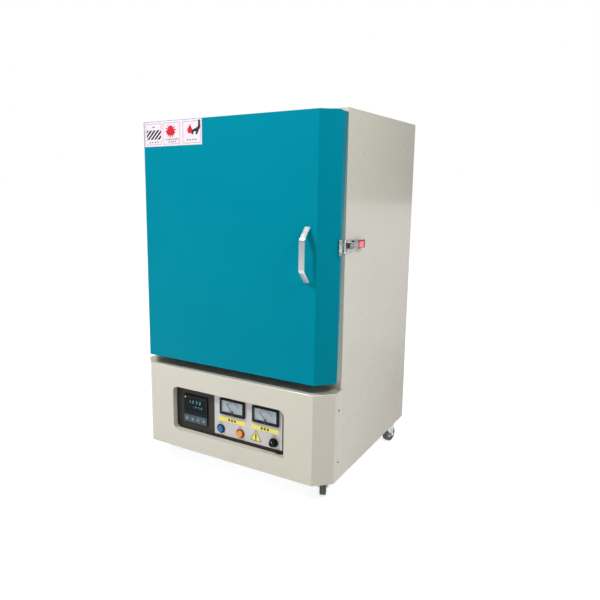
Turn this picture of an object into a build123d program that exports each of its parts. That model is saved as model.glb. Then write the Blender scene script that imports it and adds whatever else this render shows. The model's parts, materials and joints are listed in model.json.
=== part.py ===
from build123d import *

import math
import os

# A front-loading electric pottery kiln on casters, in millimetres.
# X runs across the front to the right, Y towards the back, Z up from the floor.
# The origin is on the floor, under the middle of the whole kiln.

# ---------------------------------------------------------------- driving dimensions
WIDTH = 700.0  # cabinet, side to side
HEIGHT = 1070.0  # cabinet, without the casters
DEPTH = 590.0  # cabinet, front plane to rear panel
GROUND_CLEARANCE = 70.0  # floor to the cabinet's underside
SHEET = 1.5  # steel sheet of the casing
BEND = 3.0  # outside radius of a folded corner
RIM = 2.4  # outside radius along the cover's top and the door's front
DOOR_CORNER = 8.0  # radius of the door's four corners, seen from the front
FLANGE = 18.0  # folded front edge of a side panel

NOSE = 88.0  # how far door and control cover stand in front of the cabinet
COVER_HEIGHT = 276.0
COVER_CREASE = 302.0  # half width of the cover's flat front
COVER_RETURN = 40.0  # depth of the cover's straight side, in front of the cabinet
COVER_WRAP = 20.0  # how far the cover's side wraps back along the cabinet
DOOR_BOTTOM = 305.0  # above the cabinet's underside
DOOR_TOP = 1062.0
DOOR_CREASE = 304.0
DOOR_RETURN = 34.0

CHAMBER_WIDTH = 400.0
CHAMBER_FLOOR = 400.0  # above the cabinet's underside
CHAMBER_ROOF = 950.0
CHAMBER_BACK = 460.0  # behind the cabinet's front plane
PLUG_DEPTH = 40.0  # how far the door's plug enters the chamber
PLUG_GAP = 6.0

HANDLE_REACH = 33.0
REAR_REACH = 30.0  # how far the junction box stands out of the rear panel

# ---------------------------------------------------------------- derived planes
SIDE = WIDTH / 2
INNER = SIDE - SHEET
FRONT = -(DEPTH + REAR_REACH - NOSE - HANDLE_REACH) / 2
NOSE_Y = FRONT - NOSE
REAR = FRONT + DEPTH
BASE = GROUND_CLEARANCE
TOP = BASE + HEIGHT
COVER_TOP = BASE + COVER_HEIGHT
DECK_Z = BASE + 288.0
DECK_THICKNESS = 3.0
MOUTH_LOW = BASE + CHAMBER_FLOOR
MOUTH_HIGH = BASE + CHAMBER_ROOF
MOUTH_HALF = CHAMBER_WIDTH / 2
DOOR_LOW = BASE + DOOR_BOTTOM
DOOR_HIGH = BASE + DOOR_TOP

# ---------------------------------------------------------------- control panel layout
WINDOW_WIDTH = 418.0
WINDOW_LOW = BASE + 62.0
WINDOW_HIGH = BASE + 211.0
WINDOW_CORNER = 20.0
WINDOW_SQUARE_CORNER = 4.0  # the lower right corner is nearly square
WINDOW_FLANGE = 20.0
PANEL_Y = NOSE_Y + 22.0  # front of the dark instrument panel
PANEL_THICKNESS = 2.0
PLATE_THICKNESS = 2.0
PLATE_Y = PANEL_Y - PLATE_THICKNESS  # front of the silver faceplate
PLATE_X = (-54.0, 194.0)
PLATE_Z = (BASE + 75.0, BASE + 209.0)
PROGRAMMER = (-130.0, BASE + 137.0)
PROGRAMMER_SIZE = 96.0
PROGRAMMER_PROUD = 5.0
KEY_SIZE = (20.5, 19.0)
KEY_PITCH = 22.5
KEY_Z = PROGRAMMER[1] - 33.0
METERS = [(16.0, BASE + 174.0), (137.0, BASE + 174.0)]
METER_SIZE = (92.0, 52.0)
METER_PROUD = 7.0
DIAL_POCKET = 6.0  # depth of the dial behind the case's front
DIAL_SIZE = (79.0, 39.0)
DIAL_RAISE = 1.5  # the dial's middle above the case's middle
POINTER_DROP = 14.0  # pivot below the case's middle
POINTER_LENGTH = 30.0
BUTTON_Z = BASE + 96.0
START_X = -29.0
STOP_X = 44.5
KNOB_X = 166.5
BUTTON_RADIUS = 10.6

# ---------------------------------------------------------------- latch and hinges
LATCH_Z = BASE + 695.0
LEVER_PIVOT = (SIDE + 6.0, FRONT + 20.0)
BAIL_PIVOT = (SIDE + 11.0, FRONT + 36.0)
BAIL_BAR = (SIDE + 7.0, FRONT - 21.0)
HINGE_X = -SIDE - 8.0
HINGE_Y = FRONT - 17.0
HINGE_Z = [BASE + 440.0, BASE + 930.0]

# ---------------------------------------------------------------- casters
CASTER_X = [284.0, 324.0]  # front pair, rear pair
CASTER_Y = [FRONT + 32.0, FRONT + 482.0]
CASTER_TURN = {"front_left": 155.0, "front_right": 25.0, "rear_left": -168.0, "rear_right": 168.0}
WHEEL_RADIUS = 28.0
WHEEL_WIDTH = 20.0
WHEEL_TRAIL = 24.0

os.makedirs("parts", exist_ok=True)


def save(piece, name):
    """Labels a finished piece and writes it as one STEP file."""
    piece.part.label = name
    export_step(piece.part, f"parts/{name}.step")


def save_group(name, *pieces):
    """Writes pieces that touch, such as a plate and its pin, as separate solids of one node."""
    group = Compound([solid for piece in pieces for solid in piece.part.solids()])
    group.label = name
    export_step(group, f"parts/{name}.step")


def slab(x, y, z, mode=Mode.ADD):
    """A box from x[0] to x[1], y[0] to y[1] and z[0] to z[1]."""
    with Locations(((x[0] + x[1]) / 2, (y[0] + y[1]) / 2, (z[0] + z[1]) / 2)):
        Box(x[1] - x[0], y[1] - y[0], z[1] - z[0], mode=mode)


def rod(start, end, radius, mode=Mode.ADD):
    """A round bar from one point to another."""
    line = Vector(*end) - Vector(*start)
    middle = (Vector(*end) + Vector(*start)) * 0.5
    with Locations(Plane(origin=middle, z_dir=line.normalized())):
        Cylinder(radius, line.length, mode=mode)


def across(x):
    """The span from -x to x."""
    return (-x, x)


def around(centre, half):
    """The span that reaches half to each side of a centre."""
    return (centre - half, centre + half)


def nose_outline(crease, back_corner, back):
    """The plan of a chamfered front: flat nose, two slanted corners, straight sides."""
    Polygon(
        (-SIDE, back),
        (-SIDE, FRONT - back_corner),
        (-crease, NOSE_Y),
        (crease, NOSE_Y),
        (SIDE, FRONT - back_corner),
        (SIDE, back),
        align=None,
    )


# ================================================================ casing
def make_side_panel(name, side):
    """A side of the cabinet, folded round the front corner and notched over the control cover."""
    with BuildPart() as panel:
        with BuildSketch(Plane.XY.offset(BASE)):
            with BuildLine():
                Polyline(
                    (side * SIDE, FRONT),
                    (side * SIDE, REAR),
                    (side * INNER, REAR),
                    (side * INNER, FRONT + SHEET),
                    (side * (SIDE - FLANGE), FRONT + SHEET),
                    (side * (SIDE - FLANGE), FRONT),
                    close=True,
                )
            make_face()
        extrude(amount=HEIGHT - SHEET)
        corner = panel.edges().filter_by(Axis.Z).sort_by_distance((side * SIDE, FRONT, TOP / 2))[0]
        fillet(corner, radius=BEND)
        notch_x = sorted((side * (SIDE - FLANGE - 1), side * (SIDE + 1)))
        slab(notch_x, (FRONT - 1, FRONT + COVER_WRAP + 0.5), (BASE - 1, COVER_TOP + 0.3), Mode.SUBTRACT)
    save(panel, name)


make_side_panel("left_side_panel", -1)
make_side_panel("right_side_panel", 1)

with BuildPart() as top_panel:
    slab(across(SIDE), (FRONT, REAR), (TOP - SHEET, TOP))
    fillet(top_panel.edges().filter_by(Axis.Z), radius=BEND)
save(top_panel, "top_panel")

with BuildPart() as base_plate:
    with BuildSketch(Plane.XY.offset(BASE)):
        nose_outline(COVER_CREASE, COVER_RETURN, REAR)
        offset(amount=-SHEET, kind=Kind.INTERSECTION, mode=Mode.REPLACE)
    extrude(amount=3.0)
save(base_plate, "base_plate")

with BuildPart() as deck_plate:
    slab(across(INNER), (FRONT + SHEET, REAR - SHEET), (DECK_Z, DECK_Z + DECK_THICKNESS))
save(deck_plate, "deck_plate")

JUNCTION_X = (240.0, 342.0)
JUNCTION_Z = (BASE + 118.0, BASE + 222.0)
THERMOCOUPLE_Z = BASE + 760.0
REAR_SCREW_X = SIDE - 14.0
SCREW_RADIUS = 2.0
with BuildPart() as rear_panel:
    slab(across(INNER), (REAR - SHEET, REAR), (BASE, TOP - SHEET))
    with BuildSketch(Plane.XZ.offset(-REAR)):
        with Locations((-60, BASE + 160)):
            with GridLocations(130, 22, 3, 8):
                SlotOverall(100, 6)
        with Locations((0, BASE + HEIGHT / 2)):
            with GridLocations(2 * REAR_SCREW_X, 250, 2, 5):
                Circle(SCREW_RADIUS + 0.3)
        with Locations((0, THERMOCOUPLE_Z)):
            Circle(5.0)
        with Locations((sum(JUNCTION_X) / 2, sum(JUNCTION_Z) / 2)):
            Circle(18.0)
    extrude(amount=SHEET + 1, mode=Mode.SUBTRACT)
save(rear_panel, "rear_panel")

with BuildPart() as rear_junction_box:
    slab(JUNCTION_X, (REAR, REAR + REAR_REACH), JUNCTION_Z)
    fillet(rear_junction_box.edges().filter_by(Axis.Z).group_by(Axis.Y)[-1], radius=4.0)
    slab(
        (JUNCTION_X[0] + SHEET, JUNCTION_X[1] - SHEET),
        (REAR, REAR + REAR_REACH - SHEET),
        (JUNCTION_Z[0] + SHEET, JUNCTION_Z[1] - SHEET),
        Mode.SUBTRACT,
    )
    GLAND = (sum(JUNCTION_X) / 2, REAR + REAR_REACH / 2 - 1)
    rod((*GLAND, JUNCTION_Z[0] - 1), (*GLAND, JUNCTION_Z[0] + SHEET + 1), 8.0, Mode.SUBTRACT)
save(rear_junction_box, "rear_junction_box")

GLAND_BORE = 5.5
with BuildPart() as cable_gland:
    with BuildSketch(Plane.XY.offset(JUNCTION_Z[0] - 6)):
        with Locations(GLAND):
            RegularPolygon(radius=12.0, side_count=6)
    extrude(amount=6.0)
    rod((*GLAND, JUNCTION_Z[0] - 22), (*GLAND, JUNCTION_Z[0] - 6), 10.0)
    rod((*GLAND, JUNCTION_Z[0]), (*GLAND, JUNCTION_Z[0] + 10), 8.0)
    fillet(cable_gland.edges().filter_by(GeomType.CIRCLE).group_by(Axis.Z)[0], radius=3.0)
    rod((*GLAND, JUNCTION_Z[0] - 30), (*GLAND, JUNCTION_Z[0] + 20), GLAND_BORE, Mode.SUBTRACT)
save(cable_gland, "cable_gland")

with BuildPart() as front_frame:
    slab(across(SIDE - FLANGE), (FRONT, FRONT + SHEET), (COVER_TOP - 12, TOP - SHEET))
    slab(across(MOUTH_HALF), (FRONT - 1, FRONT + 3), (MOUTH_LOW, MOUTH_HIGH), Mode.SUBTRACT)
save(front_frame, "front_frame")

window_middle = (0, (WINDOW_LOW + WINDOW_HIGH) / 2)
window_height = WINDOW_HIGH - WINDOW_LOW


def window_outline(grow):
    """The control window: three rounded corners and one nearly square, grown by a margin."""
    square = (WINDOW_WIDTH / 2 - WINDOW_CORNER / 2, WINDOW_LOW + WINDOW_CORNER / 2)
    with Locations(window_middle):
        RectangleRounded(WINDOW_WIDTH + 2 * grow, window_height + 2 * grow, WINDOW_CORNER + grow)
    with Locations(square):
        RectangleRounded(WINDOW_CORNER + 2 * grow, WINDOW_CORNER + 2 * grow, WINDOW_SQUARE_CORNER + grow)


COVER_SCREW_Y = FRONT - 11.0
COVER_SCREW_Z = [BASE + 56.0, BASE + 216.0]
with BuildPart() as control_cover:
    with BuildSketch(Plane.XY.offset(BASE)):
        nose_outline(COVER_CREASE, COVER_RETURN, FRONT + COVER_WRAP)
    extrude(amount=COVER_HEIGHT)
    creases = control_cover.edges().filter_by(Axis.Z).group_by(Axis.Y)[:2]
    fillet(creases[0] + creases[1], radius=BEND)
    cover_rim = control_cover.edges().group_by(Axis.Z)[-1].filter_by_position(Axis.Y, NOSE_Y - 1, FRONT)
    fillet(cover_rim, radius=RIM)
    with BuildSketch(Plane.XY.offset(BASE)):
        nose_outline(COVER_CREASE, COVER_RETURN, FRONT + COVER_WRAP)
        offset(amount=-SHEET, kind=Kind.INTERSECTION, mode=Mode.REPLACE)
    extrude(amount=COVER_HEIGHT - SHEET, mode=Mode.SUBTRACT)
    slab(across(INNER), (FRONT, FRONT + COVER_WRAP + 1), (BASE - 1, COVER_TOP + 1), Mode.SUBTRACT)
    with BuildSketch(Plane.XZ.offset(-NOSE_Y - SHEET)):
        window_outline(SHEET)
    extrude(amount=-WINDOW_FLANGE)
    with BuildSketch(Plane.XZ.offset(-NOSE_Y + 1)):
        window_outline(0)
    extrude(amount=-WINDOW_FLANGE - 4, mode=Mode.SUBTRACT)
    for z in COVER_SCREW_Z:
        rod((-SIDE - 1, COVER_SCREW_Y, z), (SIDE + 1, COVER_SCREW_Y, z), SCREW_RADIUS + 0.3, Mode.SUBTRACT)
save(control_cover, "control_cover")


def pan_screw(seat, outward, reach):
    """A round-headed screw whose head rests at the seat and points outward, with its reach inward."""
    start = Vector(*seat)
    direction = Vector(*outward)
    head = start + direction * 2.2
    tail = start - direction * reach
    rod(start, head, 4.2)
    rod(tail, start, SCREW_RADIUS)


with BuildPart() as cabinet_screws:
    for z in COVER_SCREW_Z:
        for side in (-1, 1):
            pan_screw((side * SIDE, COVER_SCREW_Y, z), (side, 0, 0), 9.0)
    for x in (-REAR_SCREW_X, REAR_SCREW_X):
        for row in range(-2, 3):
            pan_screw((x, REAR, BASE + HEIGHT / 2 + 250 * row), (0, 1, 0), SHEET)
save(cabinet_screws, "cabinet_screws")


# ================================================================ control panel
def panel_holes():
    """Holes for the instruments, in a sketch on the panel's XZ plane."""
    with Locations(PROGRAMMER):
        Rectangle(90.6, 90.6, mode=Mode.SUBTRACT)
    with Locations(*METERS):
        Circle(23.0, mode=Mode.SUBTRACT)
    with Locations((START_X, BUTTON_Z), (STOP_X, BUTTON_Z)):
        Circle(12.6, mode=Mode.SUBTRACT)
    with Locations((KNOB_X, BUTTON_Z)):
        Circle(5.1, mode=Mode.SUBTRACT)


with BuildPart() as instrument_panel:
    with BuildSketch(Plane.XZ.offset(-PANEL_Y)):
        with Locations(window_middle):
            Rectangle(WINDOW_WIDTH + 12, window_height + 12)
        panel_holes()
    extrude(amount=-PANEL_THICKNESS)
save(instrument_panel, "instrument_panel")

with BuildPart() as faceplate:
    with BuildSketch(Plane.XZ.offset(-PLATE_Y)) as faceplate_plan:
        with Locations((sum(PLATE_X) / 2, sum(PLATE_Z) / 2)):
            Rectangle(PLATE_X[1] - PLATE_X[0], PLATE_Z[1] - PLATE_Z[0])
        upper_right = faceplate_plan.vertices().sort_by_distance((PLATE_X[1], PLATE_Z[1]))[0]
        lower_left = faceplate_plan.vertices().sort_by_distance((PLATE_X[0], PLATE_Z[0]))[0]
        fillet(upper_right, radius=16.0)
        fillet(lower_left, radius=6.0)
        panel_holes()
    extrude(amount=-PLATE_THICKNESS)
save(faceplate, "faceplate")

DISPLAY_SIZE = (80.0, 42.0)
DISPLAY_MIDDLE = (PROGRAMMER[0], PROGRAMMER[1] + 13.0)
key_places = [(PROGRAMMER[0] + KEY_PITCH * (i - 1.5), KEY_Z) for i in range(4)]
PROGRAMMER_Y = PANEL_Y - PROGRAMMER_PROUD
with BuildPart() as programmer_case:
    with BuildSketch(Plane.XZ.offset(-PROGRAMMER_Y)):
        with Locations(PROGRAMMER):
            RectangleRounded(PROGRAMMER_SIZE, PROGRAMMER_SIZE, 3.0)
    extrude(amount=-PROGRAMMER_PROUD)
    fillet(programmer_case.edges().group_by(Axis.Y)[0], radius=1.5)
    slab(around(PROGRAMMER[0], 45), (PANEL_Y, PANEL_Y + 70), around(PROGRAMMER[1], 45))
    slab(around(PROGRAMMER[0], 43), (PANEL_Y - 4, PANEL_Y + 68), around(PROGRAMMER[1], 43), Mode.SUBTRACT)
    with BuildSketch(Plane.XZ.offset(-PROGRAMMER_Y)):
        with Locations(DISPLAY_MIDDLE):
            Rectangle(*DISPLAY_SIZE)
    extrude(amount=-2.0, mode=Mode.SUBTRACT)
    with BuildSketch(Plane.XZ.offset(-PROGRAMMER_Y)):
        with Locations(*key_places):
            Rectangle(KEY_SIZE[0] + 0.8, KEY_SIZE[1] + 0.8)
    extrude(amount=-PROGRAMMER_PROUD, mode=Mode.SUBTRACT)
save(programmer_case, "programmer_case")

with BuildPart() as programmer_display:
    with BuildSketch(Plane.XZ.offset(-PROGRAMMER_Y - 0.2)):
        with Locations(DISPLAY_MIDDLE):
            Rectangle(DISPLAY_SIZE[0] - 0.4, DISPLAY_SIZE[1] - 0.4)
    extrude(amount=-1.8)
save(programmer_display, "programmer_display")

for number, place in enumerate(key_places, start=1):
    with BuildPart() as key:
        with BuildSketch(Plane.XZ.offset(-PROGRAMMER_Y + 1.2)):
            with Locations(place):
                RectangleRounded(*KEY_SIZE, 2.0)
        extrude(amount=-4.0)
        fillet(key.edges().group_by(Axis.Y)[0], radius=0.5)
    save(key, f"key_{number}")

METER_Y = PLATE_Y - METER_PROUD
dial_places = [(x, z + DIAL_RAISE) for x, z in METERS]
with BuildPart() as meter_cases:
    with BuildSketch(Plane.XZ.offset(-METER_Y)):
        with Locations(*METERS):
            RectangleRounded(*METER_SIZE, 1.2)
    extrude(amount=-METER_PROUD)
    fillet(meter_cases.edges().group_by(Axis.Y)[0], radius=0.8)
    with BuildSketch(Plane.XZ.offset(-PLATE_Y)):
        with Locations(*METERS):
            Circle(22.5)
    extrude(amount=-40.0)
    with BuildSketch(Plane.XZ.offset(-METER_Y)):
        with Locations(*dial_places):
            Rectangle(*DIAL_SIZE)
    extrude(amount=-DIAL_POCKET, mode=Mode.SUBTRACT)
save(meter_cases, "meter_cases")

with BuildPart() as meter_dials:
    with BuildSketch(Plane.XZ.offset(-METER_Y - DIAL_POCKET + 1.0)):
        with Locations(*dial_places):
            Rectangle(DIAL_SIZE[0] - 0.4, DIAL_SIZE[1] - 0.4)
    extrude(amount=-1.0)
save(meter_dials, "meter_dials")

with BuildPart() as meter_windows:
    with BuildSketch(Plane.XZ.offset(-METER_Y - 0.5)):
        with Locations(*dial_places):
            Rectangle(DIAL_SIZE[0] - 0.4, DIAL_SIZE[1] - 0.4)
    extrude(amount=-1.2)
save(meter_windows, "meter_windows")

POINTER_REST = math.radians(45)  # to the left of upright
for name, (x, z) in zip(["voltmeter_pointer", "ammeter_pointer"], METERS):
    pivot = (x, z - POINTER_DROP)
    tip = (x - POINTER_LENGTH * math.sin(POINTER_REST), pivot[1] + POINTER_LENGTH * math.cos(POINTER_REST))
    with BuildPart() as pointer:
        with BuildSketch(Plane.XZ.offset(-METER_Y - 3.2)):
            Polygon(
                (pivot[0] - 0.6, pivot[1] - 0.6),
                (pivot[0] + 0.6, pivot[1] + 0.6),
                (tip[0] + 0.3, tip[1] + 0.3),
                (tip[0] - 0.3, tip[1] - 0.3),
                align=None,
            )
        extrude(amount=-0.8)
        rod((pivot[0], METER_Y + 2.4, pivot[1]), (pivot[0], METER_Y + 4.7, pivot[1]), 3.0)
    save(pointer, name)

with BuildPart() as panel_bushes:
    for x in (START_X, STOP_X):
        rod((x, PLATE_Y - 4, BUTTON_Z), (x, PLATE_Y, BUTTON_Z), 15.0)
        rod((x, PLATE_Y, BUTTON_Z), (x, PLATE_Y + 22, BUTTON_Z), 12.4)
        rod((x, PLATE_Y - 5, BUTTON_Z), (x, PLATE_Y + 20, BUTTON_Z), BUTTON_RADIUS + 0.2, Mode.SUBTRACT)
    rod((KNOB_X, PLATE_Y - 1.5, BUTTON_Z), (KNOB_X, PLATE_Y, BUTTON_Z), 8.0)
    rod((KNOB_X, PLATE_Y, BUTTON_Z), (KNOB_X, PLATE_Y + 24, BUTTON_Z), 5.0)
    rod((KNOB_X, PLATE_Y - 2, BUTTON_Z), (KNOB_X, PLATE_Y + 25, BUTTON_Z), 3.05, Mode.SUBTRACT)
save(panel_bushes, "panel_bushes")

for name, x in (("start_button", START_X), ("stop_button", STOP_X)):
    with BuildPart() as button:
        rod((x, PLATE_Y - 8.5, BUTTON_Z), (x, PLATE_Y + 6, BUTTON_Z), BUTTON_RADIUS)
        fillet(button.edges().filter_by(GeomType.CIRCLE).group_by(Axis.Y)[0], radius=1.5)
    save(button, name)

KNOB_DEPTH = 16.0
with BuildPart() as power_knob:
    rod((KNOB_X, PLATE_Y - 2 - KNOB_DEPTH, BUTTON_Z), (KNOB_X, PLATE_Y - 2, BUTTON_Z), 11.0)
    rod((KNOB_X, PLATE_Y - 6, BUTTON_Z), (KNOB_X, PLATE_Y - 2, BUTTON_Z), 14.5)
    fillet(power_knob.edges().filter_by(GeomType.CIRCLE).group_by(Axis.Y)[0], radius=1.5)
    with BuildSketch(Plane.XZ.offset(-(PLATE_Y - 2 - KNOB_DEPTH))):
        with Locations((KNOB_X, BUTTON_Z)):
            with PolarLocations(11.8, 18, start_angle=10):
                Circle(1.3)
    extrude(amount=-11.5, mode=Mode.SUBTRACT)
    rod((KNOB_X, PLATE_Y - 3, BUTTON_Z), (KNOB_X, PLATE_Y + 26, BUTTON_Z), 3.0)
save(power_knob, "power_knob")

# ================================================================ firing chamber
BOARD_FRONT = FRONT + SHEET
BACK_Y = FRONT + CHAMBER_BACK
DECK_TOP = DECK_Z + DECK_THICKNESS
GROOVE = 14.0
GROOVE_FRONT = FRONT + 70.0
groove_heights = [MOUTH_LOW + 75 + 80 * i for i in range(6)]


def make_side_board(name, side):
    """A fibre board beside the chamber, grooved for the heating rods."""
    with BuildPart() as board:
        slab(sorted((side * MOUTH_HALF, side * INNER)), (BOARD_FRONT, BACK_Y), (MOUTH_LOW, MOUTH_HIGH))
        for z in groove_heights:
            groove_x = sorted((side * MOUTH_HALF, side * (MOUTH_HALF + GROOVE)))
            slab(groove_x, (GROOVE_FRONT, BACK_Y), around(z, GROOVE / 2), Mode.SUBTRACT)
    save(board, name)


make_side_board("chamber_left", -1)
make_side_board("chamber_right", 1)

with BuildPart() as chamber_floor:
    slab(across(INNER), (BOARD_FRONT, BACK_Y), (DECK_TOP, MOUTH_LOW))
save(chamber_floor, "chamber_floor")

with BuildPart() as chamber_roof:
    slab(across(INNER), (BOARD_FRONT, BACK_Y), (MOUTH_HIGH, TOP - SHEET))
save(chamber_roof, "chamber_roof")

SHEATH_RADIUS = 4.0
with BuildPart() as chamber_back:
    slab(across(INNER), (BACK_Y, REAR - SHEET), (DECK_TOP, TOP - SHEET))
    rod((0, BACK_Y - 1, THERMOCOUPLE_Z), (0, REAR, THERMOCOUPLE_Z), SHEATH_RADIUS + 0.3, Mode.SUBTRACT)
save(chamber_back, "chamber_back")

HEARTH = 380.0
HEARTH_THICKNESS = 15.0
with BuildPart() as hearth_plate:
    slab(across(HEARTH / 2), (BACK_Y - HEARTH - 5, BACK_Y - 5), (MOUTH_LOW, MOUTH_LOW + HEARTH_THICKNESS))
    fillet(hearth_plate.edges().filter_by(Axis.Z), radius=6.0)
save(hearth_plate, "hearth_plate")

ELEMENT_RADIUS = 5.5
with BuildPart() as heating_elements:
    for side in (-1, 1):
        for z in groove_heights:
            x = side * (MOUTH_HALF + GROOVE / 2)
            rod((x, GROOVE_FRONT + 5, z), (x, BACK_Y - 2, z), ELEMENT_RADIUS)
save(heating_elements, "heating_elements")

with BuildPart() as thermocouple:
    rod((0, BACK_Y - 40, THERMOCOUPLE_Z), (0, REAR, THERMOCOUPLE_Z), SHEATH_RADIUS)
    rod((0, REAR, THERMOCOUPLE_Z), (0, REAR + 14, THERMOCOUPLE_Z), 15.0)
    fillet(thermocouple.edges().filter_by(GeomType.CIRCLE).group_by(Axis.Y)[-1], radius=2.0)
save(thermocouple, "thermocouple")

# ================================================================ electrical gear under the chamber
TRAY_Z = BASE + 3.0
with BuildPart() as transformer:
    slab(around(150, 75), around(FRONT + 380, 45), (TRAY_Z, TRAY_Z + 130))
    for x in (150 - 37, 150 + 37):
        slab(around(x, 16), around(FRONT + 380, 46), (TRAY_Z + 28, TRAY_Z + 102), Mode.SUBTRACT)
    for y in (FRONT + 380 - 56, FRONT + 380 + 56):
        slab(around(150, 50), around(y, 11), (TRAY_Z + 30, TRAY_Z + 100))
save(transformer, "transformer")

with BuildPart() as control_gear:
    slab(around(-150, 120), around(FRONT + 300, 90), (TRAY_Z, TRAY_Z + 4))
    slab(around(-215, 30), around(FRONT + 300, 40), (TRAY_Z + 4.2, TRAY_Z + 84))
    slab(around(-130, 40), around(FRONT + 300, 55), (TRAY_Z + 4.2, TRAY_Z + 14))
    for fin in range(9):
        slab(around(-166 + 9 * fin, 1.5), around(FRONT + 300, 55), (TRAY_Z + 14, TRAY_Z + 60))
    for block in range(6):
        slab(around(-70 + 12 * block, 5.5), around(FRONT + 250, 20), (TRAY_Z + 4.2, TRAY_Z + 40))
save(control_gear, "control_gear")

# ================================================================ hinges
KNUCKLE_RADIUS = 6.0
PIN_RADIUS = 3.0
LEAF_HALF = 30.0
DOOR_KNUCKLE_HALF = 10.0
LEAF_X = (-SIDE - 3.3, -SIDE - 0.3)
with BuildPart() as hinge_cabinet_leaves:
    for z in HINGE_Z:
        slab((-SIDE - 3.3, -SIDE), (FRONT + 1.5, FRONT + 42), around(z, LEAF_HALF))
        slab(LEAF_X, (HINGE_Y, FRONT + 1.5), around(z, LEAF_HALF))
        slab((HINGE_X, LEAF_X[1]), (HINGE_Y, HINGE_Y + 6), around(z, LEAF_HALF))
        rod((HINGE_X, HINGE_Y, z - LEAF_HALF), (HINGE_X, HINGE_Y, z + LEAF_HALF), KNUCKLE_RADIUS)
        gap = DOOR_KNUCKLE_HALF + 0.4
        slab((HINGE_X - 9, LEAF_X[1] + 0.1), (HINGE_Y - 9, FRONT + 0.5), around(z, gap), Mode.SUBTRACT)
        rod((HINGE_X, HINGE_Y, z - 40), (HINGE_X, HINGE_Y, z + 40), PIN_RADIUS, Mode.SUBTRACT)
with BuildPart() as hinge_pins:
    for z in HINGE_Z:
        rod((HINGE_X, HINGE_Y, z - LEAF_HALF), (HINGE_X, HINGE_Y, z + LEAF_HALF), PIN_RADIUS)
        rod((HINGE_X, HINGE_Y, z + LEAF_HALF), (HINGE_X, HINGE_Y, z + LEAF_HALF + 3), PIN_RADIUS + 1.5)
save_group("hinge_cabinet_leaves", hinge_cabinet_leaves, hinge_pins)

with BuildPart() as hinge_door_leaves:
    for z in HINGE_Z:
        slab((-SIDE - 3.3, -SIDE), (HINGE_Y - 16, HINGE_Y - 7), around(z, LEAF_HALF))
        slab(LEAF_X, (HINGE_Y - 7, HINGE_Y), around(z, DOOR_KNUCKLE_HALF))
        slab((HINGE_X, LEAF_X[1]), (HINGE_Y - 6, HINGE_Y), around(z, DOOR_KNUCKLE_HALF))
        low = z - DOOR_KNUCKLE_HALF
        high = z + DOOR_KNUCKLE_HALF
        rod((HINGE_X, HINGE_Y, low), (HINGE_X, HINGE_Y, high), KNUCKLE_RADIUS)
        rod((HINGE_X, HINGE_Y, low), (HINGE_X, HINGE_Y, high), PIN_RADIUS + 0.05, Mode.SUBTRACT)
save(hinge_door_leaves, "hinge_door_leaves")

# ================================================================ door
PAN_BACK = FRONT - 8.0  # rear face of the pan, where the seal sits
PAN_EDGE = FRONT - 1.0  # the rear edge of the door's return


def door_silhouette(inset):
    """The door seen from the front, with rounded corners, shrunk all round by an inset."""
    with Locations((0, (DOOR_LOW + DOOR_HIGH) / 2)):
        RectangleRounded(WIDTH - 2 * inset, DOOR_HIGH - DOOR_LOW - 2 * inset, DOOR_CORNER - inset)


with BuildPart() as skin_cavity:
    with BuildSketch(Plane.XY.offset(DOOR_LOW)):
        nose_outline(DOOR_CREASE, DOOR_RETURN, FRONT)
        offset(amount=-SHEET, kind=Kind.INTERSECTION, mode=Mode.REPLACE)
    extrude(amount=DOOR_HIGH - DOOR_LOW)
    with BuildSketch(Plane.XZ.offset(-FRONT)):
        door_silhouette(SHEET)
    extrude(amount=NOSE, mode=Mode.INTERSECT)
with BuildPart() as door_skin:
    with BuildSketch(Plane.XY.offset(DOOR_LOW)):
        nose_outline(DOOR_CREASE, DOOR_RETURN, FRONT - DOOR_RETURN + 2)
    extrude(amount=DOOR_HIGH - DOOR_LOW)
    creases = door_skin.edges().filter_by(Axis.Z).group_by(Axis.Y)[:2]
    fillet(creases[0] + creases[1], radius=BEND)
    fillet(door_skin.edges().group_by(Axis.Y)[0], radius=1.2)
    with BuildSketch(Plane.XZ.offset(-FRONT)):
        door_silhouette(0)
    extrude(amount=NOSE, mode=Mode.INTERSECT)
    add(skin_cavity.part, mode=Mode.SUBTRACT)
    slab(across(SIDE + 1), (FRONT - DOOR_RETURN, FRONT), (DOOR_LOW - 1, DOOR_HIGH + 1), Mode.SUBTRACT)
save(door_skin, "door_skin")

PLUG_HALF = MOUTH_HALF - PLUG_GAP
PLUG_Z = (MOUTH_LOW + PLUG_GAP, MOUTH_HIGH - PLUG_GAP)
with BuildPart() as door_pan:
    with BuildSketch(Plane.XZ.offset(-PAN_EDGE)):
        door_silhouette(0)
    extrude(amount=PAN_EDGE - FRONT + DOOR_RETURN)
    with BuildSketch(Plane.XZ.offset(-PAN_BACK + SHEET)):
        door_silhouette(SHEET)
    extrude(amount=DOOR_RETURN, mode=Mode.SUBTRACT)
    slab(across(SIDE - 12), (PAN_BACK, PAN_EDGE), (DOOR_LOW + 12, DOOR_HIGH - 12), Mode.SUBTRACT)
    slab(across(PLUG_HALF), (PAN_BACK - 3, PAN_BACK + 1), PLUG_Z, Mode.SUBTRACT)
save(door_pan, "door_pan")

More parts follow.
